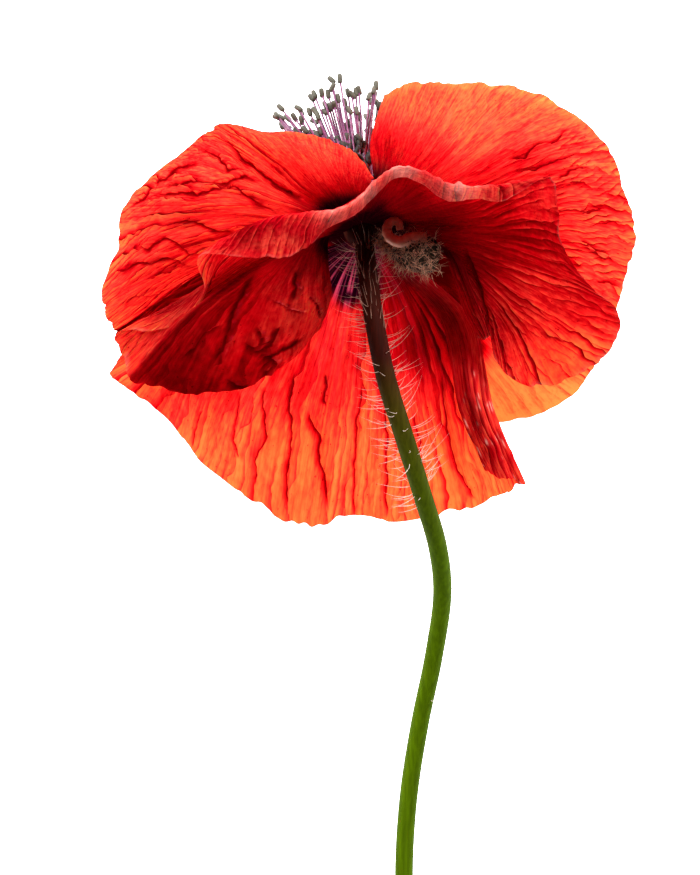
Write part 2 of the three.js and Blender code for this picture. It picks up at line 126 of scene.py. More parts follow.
class Sheet:
    """A petal's points on a grid, with what the crumpling and the colours are worked out from."""

    def __init__(self, points):
        self.points = points
        self.along, self.across = points.shape[0] - 1, points.shape[1] - 1
        self.u = np.linspace(0, 1, self.along + 1)[:, None] * np.ones((1, self.across + 1))
        self.v = np.linspace(0, 1, self.across + 1)[None, :] * np.ones((self.along + 1, 1))
        steps = np.linalg.norm(np.diff(points, axis=0), axis=2)
        self.reach = np.vstack([np.zeros((1, self.across + 1)), np.cumsum(steps, axis=0)])
        self.width = np.linalg.norm(np.diff(points, axis=1), axis=2).sum(axis=1)[:, None]
        self.x, self.y = points[..., 0], points[..., 1]
        self.lift = np.zeros_like(self.u)  # mm off the smooth sheet
        self.fold = np.full_like(self.u, -1.0)  # mm inside the shade of a single crease
        self.shade = np.zeros_like(self.u)  # how dark that shade is
        self.marks = {}  # grids of values for the material

    def wrinkle(self, label, spacing, wander, slope, seed, share=1.0, slant=0.0, cell=(6, 18)):
        """Creases about spacing mm apart that run out from the claw, in bundles and open patches.

        They wander over cells of that size in mm, and slope is how steep their sides are. In marks,
        label_turn counts them across the sheet, label_gap is the space between them in mm, and
        label_depth is how sharp they are, from 0 to 1.
        """
        x, y = self.v * self.width[-1], self.reach
        warp = wander * grain(x / cell[0], y / cell[1], seed)
        warp = warp + 0.35 * grain(x / 11, y / 4.5, seed + 1)  # they sway
        warp = warp + 0.12 * grain(x / 7, y / 1.7, seed + 3)  # and jog
        turn = x / spacing + slant * y / spacing + warp
        down = np.gradient(turn, axis=0) / np.maximum(np.gradient(self.reach, axis=0), 1e-3)
        over = np.gradient(turn, axis=1) * self.across / self.width
        gap = 1 / np.maximum(np.hypot(down, over), 1 / (3 * spacing))
        fade = step(grain(2 * x / cell[0], 1.6 * y / cell[1], seed + 2), -0.4, 0.3)
        strengths = np.random.default_rng(seed).uniform(0.25, 1.3, 512).clip(0, 1)
        strengths = strengths[np.floor(turn).astype(int) % len(strengths)]
        depth = share * (0.2 + 0.8 * fade) * strengths
        depth = depth * step(gap, 0.3, 0.9)  # none where they crowd together at the claw
        calm = 1 - 0.8 * step(self.u, 0.8, 1)
        part = turn - np.floor(turn)
        crest = 0.25  # of the way from one crease to the next
        tent = np.where(part < crest, part / crest, (1 - part) / (1 - crest))
        self.lift += slope * depth * calm * np.minimum(gap, spacing) * (tent - 0.5)
        self.marks[label + "_turn"] = turn
        self.marks[label + "_gap"] = gap
        self.marks[label + "_depth"] = depth

    def beside(self, path, wander):
        """How far each point is from a path of x and y, in mm, and its place along it, from 0 to 1.

        The distance is more than 0 on the right of the path.
        """
        x = self.x + wander * (grain(self.x / 3, self.y / 3, 11) + 0.4 * grain(self.x, self.y, 13))
        y = self.y + wander * (grain(self.x / 3, self.y / 3, 12) + 0.4 * grain(self.x, self.y, 14))
        nearest = np.full_like(x, 1e9)
        side = np.ones_like(x)
        place = np.zeros_like(x)
        for k, ((ax, ay), (bx, by)) in enumerate(zip(path, path[1:])):
            dx, dy = bx - ax, by - ay
            t = np.clip(((x - ax) * dx + (y - ay) * dy) / (dx * dx + dy * dy), 0, 1)
            gap = np.hypot(x - ax - t * dx, y - ay - t * dy)
            closer = gap < nearest
            side = np.where(closer, np.sign((x - ax) * dy - (y - ay) * dx), side)
            place = np.where(closer, (k + t) / (len(path) - 1), place)
            nearest = np.where(closer, gap, nearest)
        return nearest * side, place

    def crease(self, path, width, depth, wander=0.4, taper=0.2, share=1.0):
        """A single sharp crease along a path of x and y, with the fold's shade to its right."""
        away, place = self.beside(path, wander)
        ends = step(place, 0, taper) * step(place, 1, 1 - taper)
        ends = ends * share * step(self.u, 0, 0.05)
        ledge = np.where(away > 0, step(away, 1.5 * width, 0), -step(-away, 2 * width, 0))
        self.lift += depth * ledge * step(np.abs(away), 0, 0.15 * width) * ends
        inside = width / 2 - np.abs(away - width / 2)
        shade = np.clip(1 - away / width, 0, 1) * ends
        self.shade = np.where(inside > self.fold, shade, self.shade)
        self.fold = np.maximum(self.fold, inside)

    def toward(self, tone, places):
        """tone, drawn towards a value round each place. places are x, y, radius and value."""
        for x, y, radius, value in places:
            share = np.exp(-((self.x - x) ** 2 + (self.y - y) ** 2) / radius**2)
            tone = tone + (value - tone) * share
        return tone

    def ragged(self, depth, spacing, seed):
        """Shortens the sheet at the margin, by about depth mm, in nicks about spacing mm apart."""
        edge = self.v[0] * self.width[-1] / spacing
        nick = grain(edge, 0.5, seed) + 0.6 * grain(edge * 2.7, 0.5, seed + 1)
        last = self.reach[-1]
        share = 1 - np.clip(depth * (0.4 + nick), 0, None) / last
        rows = self.u * self.along * (1 - (1 - share[None, :]) * step(self.u, 0.8, 1.0))
        low = np.minimum(rows.astype(int), self.along - 1)
        part = (rows - low)[..., None]
        columns = np.arange(self.across + 1)[None, :]
        self.points = self.points[low, columns] * (1 - part) + self.points[low + 1, columns] * part
        self.x, self.y = self.points[..., 0], self.points[..., 1]

    def drawn(self, tone, stain, pale=0, dry=0):
        """The grids that petal_tissue reads.

        tone is how deep the red is, stain is how strong the claw's stain is, pale is how faded the skin
        is together with how strong the highlights painted on it are, and dry is how little light it lets
        through, each from 0 to 1.
        """
        shading = {"tone": tone, "fold": self.fold, "shade": self.shade}
        return self.marks | shading | {"stain": stain, "pale": pale, "dry": dry}

    def object(self, name, thickness, attributes):
        """A mesh object with a wall that many mm thick. attributes are named grids of values."""
        down = np.gradient(self.points, axis=0)
        over = np.gradient(self.points, axis=1)
        normal = unit(np.cross(down, over) + 1e-9)  # never quite of no length
        points = self.points + normal * self.lift[..., None]
        points[..., 2] = np.maximum(points[..., 2], FLOOR)
        bm = bmesh.new()
        bm.loops.layers.uv.new("UVMap")
        bmesh.ops.create_grid(
            bm, x_segments=self.across, y_segments=self.along, size=0.5, calc_uvs=True
        )
        bmesh.ops.reverse_faces(bm, faces=bm.faces)
        mesh = bpy.data.meshes.new(name)
        bm.to_mesh(mesh)
        bm.free()
        mesh.vertices.foreach_set("co", ((points + HEAD) * MM).ravel())
        mesh.polygons.foreach_set("use_smooth", [True] * len(mesh.polygons))
        for label, values in attributes.items():
            layer = mesh.attributes.new(label, "FLOAT", "POINT")
            layer.data.foreach_set("value", (values + 0 * self.u).ravel())
        mesh.update()
        piece = bpy.data.objects.new(name, mesh)
        bpy.context.scene.collection.objects.link(piece)
        wall = piece.modifiers.new("wall", "SOLIDIFY")
        wall.thickness = thickness * MM
        wall.offset = 0
        return piece


def linear(colour):
    """An sRGB hex colour as linear red, green, blue and alpha."""
    parts = [int(colour[k : k + 2], 16) / 255 for k in (1, 3, 5)]
    return [p / 12.92 if p <= 0.04045 else ((p + 0.055) / 1.055) ** 2.4 for p in parts] + [1.0]


def node(tree, kind, values=None, **settings):
    """Adds a node. values are its inputs: a socket links, and anything else is set."""
    made = tree.nodes.new(kind)
    for setting, value in settings.items():
        setattr(made, setting, value)
    for key, value in (values or {}).items():
        if isinstance(value, bpy.types.NodeSocket):
            tree.links.new(value, made.inputs[key])
        else:
            made.inputs[key].default_value = value
    return made


def blank_material(name):
    material = bpy.data.materials.new(name)
    material.use_nodes = True
    material.node_tree.nodes.clear()
    return material, material.node_tree


# Petal tissue: a skin one cell thick on each face, over cells full of red sap. Light passes through
# it, so two layers look much redder than one. Each crease has painted shade beside it and a painted
# highlight on its crest. Thin tissue near the margin is orange. The long skin cells are drawn 0.35 mm
# wide and the finest threads 0.2 mm, coarser than life, so that they show.
TISSUE_COLOURS = ("#fdb47c", "#fc966c", "#f8645f", "#d4203c", "#700009")  # from thin to doubled
HIGHLIGHT_SPOT_COLOUR = "#ff8c62"  # painted highlights: the pale salmon spots where thin skin catches the light
FADE_AND_HIGHLIGHT_COLOUR = "#ffb6a6"  # for skin that is dry and faded, and for highlights painted where it catches the light

# Each pattern's width across the petal and length along it in mm, its detail, and its range: the
# noise from the first value to the second becomes the third to the fourth.
TISSUE_PATTERNS = {
    "cells": (0.35, 1.1, 4.0, (0.3, 0.7, -0.12, 0.12)),
    "threads": (0.2, 6.0, 2.0, (0.3, 0.7, -0.1, 0.1)),
    "veins": (0.4, 14.0, 3.0, (0.35, 0.65, -0.08, 0.08)),
    "patches": (2.5, 8.0, 3.0, (0.3, 0.7, -0.07, 0.07)),
    "specks": (0.3, 0.45, 1.0, (0.7, 0.76, 0.0, 0.35)),
    "highlight_spots": (1.4, 4.0, 5.0, (0.46, 0.7, 0.0, 0.35)),
    "rays": (0.7, 30.0, 3.0, (0.5, 0.6, 0.0, 1.0)),
}
CREASE_WIDTHS = {"coarse": 1.1, "fine": 0.5}  # mm, of the shade beside each crease
CREST_HIGHLIGHT = 0.24  # how much less red the crest beside a crease is, a painted highlight
CREST_HEIGHT = 0.3  # of the shade's width
SHADE_FALL = 1.3  # the power by which a crease's shade falls away
CELL_HEIGHT = 0.27  # mm, for a whole step in a cell's depth of colour


def petal_tissue(name, blotch, rays, margin_width):
    """The tissue of a petal with a stain of two colours at its claw.

    margin_width is in mm, and turns the sheet's own coordinates into sizes.
    """
    material, tree = blank_material(name)
    place = node(tree, "ShaderNodeUVMap", uv_map="UVMap").outputs["UV"]
    marks = {}
    labels = ["tone", "fold", "shade", "stain", "pale", "dry"]
    labels += [kind + end for kind in CREASE_WIDTHS for end in ("_turn", "_gap", "_depth")]
    for label in labels:
        marks[label] = node(tree, "ShaderNodeAttribute", attribute_name=label).outputs["Fac"]
    patterns = {}
    for label, (width, length, detail, (low, high, least, most)) in TISSUE_PATTERNS.items():
        scale = (margin_width / width, PETAL_LENGTH / length, 1)
        spots = node(tree, "ShaderNodeMapping", {"Vector": place, "Scale": scale}).outputs["Vector"]
        spots = {"Vector": spots, "Scale": 1.0, "Detail": detail}
        noise = node(tree, "ShaderNodeTexNoise", spots).outputs["Fac"]
        limits = {"Value": noise, 1: low, 2: high, 3: least, 4: most}
        patterns[label] = node(tree, "ShaderNodeMapRange", limits).outputs[0]

    # The cells and the veins make the depth of colour uneven, and less so where it is deep.
    uneven = patterns["cells"]
    for label in ("threads", "veins", "patches", "specks"):
        terms = {0: uneven, 1: patterns[label]}
        uneven = node(tree, "ShaderNodeMath", terms, operation="ADD").outputs[0]
    evened = {"Value": marks["tone"], 1: 0.5, 2: 0.9, 3: 1.0, 4: 0.25}
    evened = node(tree, "ShaderNodeMapRange", evened).outputs[0]
    terms = {0: uneven, 1: evened, 2: marks["tone"]}
    depth = node(tree, "ShaderNodeMath", terms, operation="MULTIPLY_ADD").outputs[0]

    # A single crease has its painted shade, which starts at a sharp edge.
    inside = {"Value": marks["fold"], 1: -0.04, 2: 0.1, 3: 0.0, 4: 1.0}
    inside = node(tree, "ShaderNodeMapRange", inside).outputs[0]
    terms = {0: inside, 1: marks["shade"]}
    line = node(tree, "ShaderNodeMath", terms, operation="MULTIPLY").outputs[0]

    # Each of the many creases has a painted shade after it and a painted highlight on the crest before
    # it.
    terms = {0: patterns["cells"], 1: CELL_HEIGHT}
    height = node(tree, "ShaderNodeMath", terms, operation="MULTIPLY").outputs[0]
    for label, width in CREASE_WIDTHS.items():
        turn = {0: marks[label + "_turn"]}
        after = node(tree, "ShaderNodeMath", turn, operation="FRACT").outputs[0]
        before = node(tree, "ShaderNodeMath", {0: 1.0, 1: after}, operation="SUBTRACT").outputs[0]
        near = []
        for part in (after, before):
            terms = {0: part, 1: marks[label + "_gap"]}
            away = node(tree, "ShaderNodeMath", terms, operation="MULTIPLY").outputs[0]
            limits = {"Value": away, 1: 0.0, 2: width, 3: 1.0, 4: 0.0}
            near.append(node(tree, "ShaderNodeMapRange", limits).outputs[0])
        terms = {0: near[0], 1: SHADE_FALL}
        shaded = node(tree, "ShaderNodeMath", terms, operation="POWER").outputs[0]
        terms = {0: shaded, 1: marks[label + "_depth"]}
        crease = node(tree, "ShaderNodeMath", terms, operation="MULTIPLY").outputs[0]
        terms = {0: near[1], 1: marks[label + "_depth"]}
        crest = node(tree, "ShaderNodeMath", terms, operation="MULTIPLY").outputs[0]
        line = node(tree, "ShaderNodeMath", {0: line, 1: crease}, operation="MAXIMUM").outputs[0]
        terms = {0: crest, 1: -CREST_HIGHLIGHT, 2: depth}
        depth = node(tree, "ShaderNodeMath", terms, operation="MULTIPLY_ADD").outputs[0]
        terms = {0: crest, 1: CREST_HEIGHT * width, 2: height}
        height = node(tree, "ShaderNodeMath", terms, operation="MULTIPLY_ADD").outputs[0]
    room = node(tree, "ShaderNodeMath", {0: 1.0, 1: depth}, operation="SUBTRACT").outputs[0]
    terms = {0: line, 1: room, 2: depth}
    depth = node(tree, "ShaderNodeMath", terms, operation="MULTIPLY_ADD", use_clamp=True).outputs[0]

    # The depth gives the body's colour, and the stain lies over it, with rays where it is thin.
    body = node(tree, "ShaderNodeValToRGB", {"Fac": depth})
    stops = body.color_ramp.elements
    stops[0].color = linear(TISSUE_COLOURS[0])
    stops[1].color = linear(TISSUE_COLOURS[-1])
    for k in (1, 2, 3):
        stops.new(k / 4).color = linear(TISSUE_COLOURS[k])
    thin = {"Value": marks["tone"], 1: 0.85, 2: 1.0, 3: 1.0, 4: 0.0}
    thin = node(tree, "ShaderNodeMapRange", thin).outputs[0]
    terms = {0: patterns["rays"], 1: thin}
    rayed = node(tree, "ShaderNodeMath", terms, operation="MULTIPLY").outputs[0]
    claw = {"Factor": rayed, 6: linear(blotch), 7: linear(rays)}
    claw = node(tree, "ShaderNodeMix", claw, data_type="RGBA").outputs[2]
    stained = {"Factor": marks["stain"], 6: body.outputs["Color"], 7: claw}
    stained = node(tree, "ShaderNodeMix", stained, data_type="RGBA").outputs[2]

    # Light that the skin sends back is richer than light that comes through. Highlights are painted on
    # it in pale spots where it is thin, and the faded colour goes where it is dry and where more
    # highlights are painted.
    rich = node(tree, "ShaderNodeGamma", {"Color": stained, "Gamma": 1.6}).outputs["Color"]
    open_skin = {"Value": depth, 1: 0.85, 2: 0.4, 3: 0.0, 4: 1.0}
    open_skin = node(tree, "ShaderNodeMapRange", open_skin).outputs[0]
    terms = {0: patterns["highlight_spots"], 1: open_skin}
    highlight_spots = node(tree, "ShaderNodeMath", terms, operation="MULTIPLY").outputs[0]
    highlight_spots = {"Factor": highlight_spots, 6: rich, 7: linear(HIGHLIGHT_SPOT_COLOUR)}
    highlight_spots = node(tree, "ShaderNodeMix", highlight_spots, data_type="RGBA").outputs[2]
    faded_and_highlit = {"Factor": marks["pale"], 6: highlight_spots, 7: linear(FADE_AND_HIGHLIGHT_COLOUR)}
    faded_and_highlit = node(tree, "ShaderNodeMix", faded_and_highlit, data_type="RGBA").outputs[2]
    relief = node(tree, "ShaderNodeBump", {"Height": height, "Strength": 1.0, "Distance": MM})
    relief = relief.outputs["Normal"]
    skin = node(
        tree,
        "ShaderNodeBsdfPrincipled",
        {"Base Color": faded_and_highlit, "Roughness": 0.5, "Specular IOR Level": 0.0, "Normal": relief},
    )
    glow = node(tree, "ShaderNodeBsdfTranslucent", {"Color": stained, "Normal": relief})
    through = {"Value": marks["dry"], 1: 0.0, 2: 1.0, 3: 0.7, 4: 0.25}
    through = node(tree, "ShaderNodeMapRange", through).outputs[0]
    both = {"Fac": through, 1: skin.outputs["BSDF"], 2: glow.outputs["BSDF"]}
    both = node(tree, "ShaderNodeMixShader", both)
    node(tree, "ShaderNodeOutputMaterial", {"Surface": both.outputs["Shader"]})
    return material


RAISED_CLAW = (-62, 62, -0.9)
RAISED_RIBS = [
    # the left wing, from its edge beside the stem
    [[-4.2, -1.2, 3], [-4.4, -4.5, 3], [-4, -8.6, 0.5], [-5.5, -13.4, -3]],
    [[-5.6, -1.7, 5], [-6.6, -5.6, 4.5], [-7, -11, 0], [-9, -17.1, -4.6]],
    [[-6.6, -2, 7.5], [-9.4, -6.2, 6.5], [-12, -12.5, 1], [-14.6, -21.3, -5]],
    [[-7.4, -2.2, 10], [-12, -6.2, 9], [-17, -12.6, 4], [-21.5, -22.3, -5.6]],
    [[-7.8, -2.5, 12], [-13.2, -6.1, 11.5], [-20.5, -11.6, 7], [-27.5, -21.1, -5.8]],
    # the fold down the wing, out to its tip
    [[-8, -2.5, 13.4], [-13.6, -5.3, 13.8], [-21.6, -10.8, 9.6], [-30.8, -20.3, -4.4]],
    [[-8, -1.9, 14.2], [-13.6, -4.5, 13.6], [-22, -9.8, 8.2], [-31.8, -17.3, -4.2]],
    [[-7.8, -1.5, 15], [-13.8, -3.5, 14], [-22, -8.6, 8.4], [-33, -14.3, -3.5]],
    [[-7.6, -1.2, 15.6], [-14, -2.9, 14.8], [-20.5, -7.6, 10.5], [-27.8, -13.7, 2]],
    [[-7.4, -0.8, 16.2], [-14, -2.4, 15.8], [-18.8, -5.9, 13], [-23, -12.4, 7.5]],
    [[-7.2, -0.4, 16.6], [-14, -1.8, 17], [-18.4, -4.2, 15.4], [-20.8, -8.8, 10.5]],
    # the left corner, where the margin turns over
    [[-7, 0, 17], [-13.4, -1, 18.6], [-18.6, -2.4, 18.4], [-21.8, -4.5, 15]],
    [[-6.6, 0.4, 17.4], [-11.6, -0.1, 20], [-16.6, -1.1, 21.4], [-19.4, -3.9, 19.6]],
    [[-6, 0.8, 17.6], [-9.6, 0.7, 21.4], [-13.4, 0.3, 23.2], [-15.4, -4.3, 21.6]],
    [[-5, 1.2, 17.6], [-7.6, 1.1, 22.2], [-10, 1, 24.6], [-11, -4.6, 22.6]],
    # the rolled margin above the stem
    [[-4, 1.6, 17.4], [-5.2, 1.5, 22.6], [-6.4, 1.4, 25.2], [-7.6, -3.7, 23.6]],
    [[-2.6, 2.2, 17.2], [-3, 2.1, 22.8], [-3.6, 1.6, 25.8], [-4.8, -0.8, 24.6]],
    [[-0.6, 3.5, 17], [-0.6, 3.5, 22.8], [-0.6, 3, 26.4], [-1, 1, 25.4]],
    [[1.4, 4.4, 16.8], [1.6, 5.3, 22.8], [2, 5.6, 26.8], [1.6, 3.4, 26]],
    [[3.4, 4.8, 16.6], [4, 6.5, 22.8], [5, 7.4, 27], [4.8, 6, 26.6]],
    [[5.6, 4.6, 16.4], [6.8, 6.2, 22.4], [8.4, 6.6, 26.4], [8, 5, 26]],
    [[7.6, 4.1, 15.8], [9.6, 5.1, 21.6], [11.4, 5.2, 25], [11, 3, 24.4]],
    [[9.4, 3.6, 14.8], [12.4, 4.4, 20], [14.8, 4.9, 23.4], [14.8, 3.3, 22.6]],
    [[10.8, 2.9, 13.6], [14.8, 3.9, 18.4], [18, 5.1, 21.4], [18.6, 3.1, 20.6]],
    # the right corner
    [[11.8, 2.1, 12.2], [16.6, 3.5, 16.2], [20.8, 5.6, 18.6], [24.8, 6.4, 17]],
    [[12.4, 1, 10.6], [17.6, 1.8, 13.8], [22.2, 3.1, 14.6], [26, 2.1, 12.6]],
    # the right wing
    [[12.4, -0.6, 9.6], [18, -0.5, 11.4], [22.8, -0.7, 11.2], [27, -3.2, 8.6]],
    [[12.6, -1.6, 8.6], [18.6, -2.6, 9.4], [24.8, -4.8, 7.8], [31, -8.2, 3.6]],
    [[12.8, -2.6, 7.8], [19, -4.8, 7.6], [26.4, -8.1, 4.6], [34.8, -11.8, -0.8]],
    [[12.8, -3.4, 7.2], [18.8, -6.7, 6], [26, -11.4, 2], [33.4, -16.5, -4.8]],
    [[12.8, -4, 6.6], [18.2, -8.1, 5], [23.8, -13.2, 0.6], [30, -19.3, -6]],
    [[12.6, -4.3, 6.2], [17.4, -9.1, 4.2], [21.4, -14.4, -0.4], [24.6, -21.3, -5]],
    [[12.4, -4.5, 6], [16.4, -9.5, 4], [19, -14.2, 0.6], [20.4, -20.2, -2.5]],
    [[12.2, -4.5, 6], [15.6, -9.5, 4.4], [17.2, -13.4, 2], [17.8, -17.4, 0.8]],
    # its inner edge, rolled over the front in a tube
    [[12.4, -3.5, 6.6], [14.8, -8.2, 6], [16.3, -11.8, 4.2], [17.2, -14.4, 2.6]],
    [[11.4, -2.8, 6.8], [13.6, -7.2, 6.4], [15, -11, 4.6], [16.6, -14.9, 2.8]],
    [[10.4, -2.4, 5.6], [12.2, -6.4, 5], [13.6, -10.6, 3.2], [15.5, -14.6, 1.6]],
    [[10.6, -2.6, 3.6], [12.8, -6.8, 3], [14.4, -10.8, 1], [16, -14.2, 0.2]],
]

raised = Sheet(fan(RAISED_CLAW, RAISED_RIBS, 150, 300))
raised.ragged(0.5, 2.6, 31)
wing = step(raised.x, 8, 13)  # the right wing
rolled = step(raised.u, 0.62, 0.7)  # the rolled margin
rolled = rolled * step(raised.v, 0.26, 0.36) * step(raised.v, 0.72, 0.62)
strip = step(raised.v, 0.138, 0.146) * step(raised.v, 0.34, 0.3)  # above the left wing's fold
strip = strip * (step(raised.x, -3, -5) * step(raised.u, 0.1, 0.2))
coarse = step(raised.u, 0.15, 0.6) * (0.35 + 0.65 * wing)
raised.wrinkle("coarse", 2.9, 0.6, 0.3, 101, share=coarse)
fine = step(raised.u, 0.2, 0.6) * np.maximum(np.maximum(wing, 0.7 * rolled), strip)
raised.wrinkle("fine", 1.5, 0.5, 0.25, 102, share=fine, slant=0.25, cell=(4, 12))
raised.lift += 0.2 * rolled * grain(raised.x / 1.1, raised.y / 1.1 + raised.reach / 2, 108)
for width, path in (
    (0.9, [(-13.3, -5.1), (-15.6, -9), (-17.1, -11.6), (-18.2, -16.3), (-20.1, -19.3)]),
    (0.6, [(-8.7, -5.3), (-8.5, -8.1), (-9.2, -9.8)]),
    (0.6, [(-12, -9.4), (-10.2, -10), (-8.9, -10.7), (-7.2, -11.2)]),
    (0.6, [(-7.2, -8.6), (-5.5, -10.3), (-5.1, -12)]),
    (1.1, [(-13.9, -12.9), (-12.9, -15), (-12.8, -16.9)]),
    (1.3, [(-15.6, -15), (-14, -16), (-11.8, -17.2), (-10.6, -18.6)]),
    (1.0, [(-7.6, -15), (-10.2, -16.3), (-13, -16.8)]),
    (1.0, [(-10.6, -13), (-11.4, -14.6), (-13, -16.8)]),
    (1.0, [(-13.6, -17.4), (-12.6, -19), (-12.8, -21)]),
    (1.2, [(-17.8, -20), (-16.3, -21.2), (-14.4, -21)]),
    (0.7, [(-24.5, -17.5), (-21, -14), (-18.4, -12.6)]),
    (0.7, [(-9.6, -17.6), (-8, -18.2), (-6.6, -17.4)]),
):
    raised.crease(path, width, 0.3, share=1 - rolled)
right_fold = [(13.6, -2), (15, -5), (16.2, -8.4), (17, -11.6), (17.4, -14.4)]
raised.crease(right_fold, 0.8, 0.3, wander=0.2)
raised_tone = raised.toward(
    0.88 + 0.04 * grain(raised.x / 4, raised.y / 4, 104),
    [
        (-18, -16, 6, 0.76),
        (-8, -11, 4.5, 0.42),
        (-9, -16, 3.5, 0.6),
        (24, -9, 5, 0.7),
        (25, -16, 7, 0.45),
        (20, -19.5, 2.5, 0.45),
        (26.5, -20, 3.5, 0.25),
        (32, -16, 4, 0.3),
        (18.5, -10, 3, 0.7),
        (23.5, 3, 2.5, 0.7),
    ],
)
raised_tone += (0.74 - 0.36 * step(raised.u, 0.82, 1) - raised_tone) * strip
rolled_tone = raised.toward(
    0.66 + 0.12 * grain(raised.x / 2.5, raised.y / 2.5, 105),
    [
        (-19, -2, 3, 0.55),
        (-15, 0, 3, 0.9),
        (-10, 0, 3, 0.8),
        (-10, -3.4, 2.5, 0.5),
        (-3, 3, 3, 0.55),
        (14, 4.5, 3, 0.5),
    ],
)
raised_tone += (rolled_tone - raised_tone) * rolled
rolled_highlights = raised.toward(  # painted highlights on the rolled margin, where it catches the light
    0 * raised.x,
    [
        (-3.6, 2.2, 2, 0.3),
        (0, 4.4, 2, 0.4),
        (5.2, 7.8, 2, 0.6),
        (9.2, 5.4, 1.2, 0.05),
        (13, 4.8, 2.2, 0.35),
    ],
)
rolled_highlights = rolled_highlights * (1 + 0.5 * grain(raised.x / 0.7, raised.y / 0.7, 107)).clip(0, 1.5)
rim = step(raised.u, 0.98, 0.992) * step(raised.v, 0.138, 0.15)  # dry bits of the very edge
rim *= step(grain(raised.v * 60, raised.u, 106), -0.3, 0.4)
raised_stain = raised.toward(
    0.75 * step(raised.reach, 8, 4) + 0.36 * step(raised.reach, 22, 10),
    [(2.3, 2.2, 1.2, 0.95), (-8, -12, 5, 0.22)],
)
raised_pale = np.maximum(0.15 * rim, rolled * rolled_highlights)
raised_dry = np.maximum(0.7 * rolled, 0.5 * rim)
raised_petal = raised.object(
    "petal_outer_raised_tissue",
    TISSUE,
    raised.drawn(raised_tone, raised_stain, raised_pale, raised_dry),
)
raised_petal.data.materials.append(petal_tissue("raised_petal_tissue", "#50042a", "#6c0838", 90))
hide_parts("petal_outer_raised")
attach(raised_petal, "root")

# ---------------------------------------------------------------- hanging outer petal
# The other outer petal, which hangs under the stem from a claw of its own. It is the same thin
# tissue, fallen into long pleats from the claw to the margin. Its right edge is folded forward in a
# narrow flap that shows the inner face, which lets less light through, with glossy highlights
# painted on it in pale streaks.

HANGING_CLAW = (122, 238, -0.9)
HANGING_RIBS = [
    # the flap folded forward, from its free edge to the fold
    [[4.6, -5.6, -3], [10.4, -11.8, -3.6], [13.2, -24.4, -1.6], [16.8, -33.1, -6.4]],
    [[6.2, -5.4, -3.4], [12.8, -12, -3.6], [15.2, -23.6, -1.8], [19.4, -33.6, -6.6]],
    [[7.6, -5.3, -4.2], [15, -12.3, -4.8], [17.4, -23.8, -3.4], [21.7, -34.2, -8]],
    [[7.4, -6.1, -5.4], [14, -13.6, -7], [16.8, -24.4, -6.8], [20.9, -34.6, -11]],
    # the pleated blade
    [[6.2, -6.7, -5.2], [11.6, -14.8, -7], [15, -25.4, -8.6], [18.9, -35.7, -13]],
    [[5.2, -7.1, -5], [9.2, -15.8, -6.8], [11.8, -26.4, -9.8], [14.8, -37.3, -15.4]],
    [[3.6, -7.3, -4.7], [6, -16.4, -6.5], [7.6, -27.2, -10], [8.8, -38.9, -16.8]],
    [[1.6, -7.5, -4.4], [2.4, -16.9, -6.2], [2.6, -27.8, -10], [2, -39, -17.7]],
    [[-0.4, -7.5, -4.4], [-1.4, -16.9, -6.2], [-2.6, -27.8, -10.2], [-4.4, -39.5, -17.7]],
    [[-2.4, -7.3, -4.4], [-5, -16.7, -6.4], [-7.8, -27.4, -10.4], [-9.8, -39.9, -17.7]],
    [[-4.4, -6.9, -4.6], [-8.8, -15.8, -6.8], [-12.8, -25.7, -10.8], [-14.8, -36.1, -17.4]],
    [[-6.2, -6.5, -5], [-12.4, -14.6, -7.4], [-17.6, -23.3, -11.4], [-20.6, -32.4, -17]],
    [[-7.6, -5.9, -5.4], [-15.4, -13, -8], [-21.6, -20.3, -12], [-24.3, -27.6, -16.6]],
    [[-8.4, -5.1, -6], [-17.2, -11.2, -8.4], [-25, -16.7, -12.2], [-29.6, -22.8, -16]],
    [[-8.6, -4.3, -6.2], [-17.4, -9.6, -8.6], [-25.6, -14.5, -12], [-34.1, -19.5, -15.4]],
    [[-8.4, -3.7, -6.4], [-16.6, -8.2, -8.8], [-24.6, -12.5, -11.6], [-32.2, -16.9, -14.8]],
]
PLEATS = 9

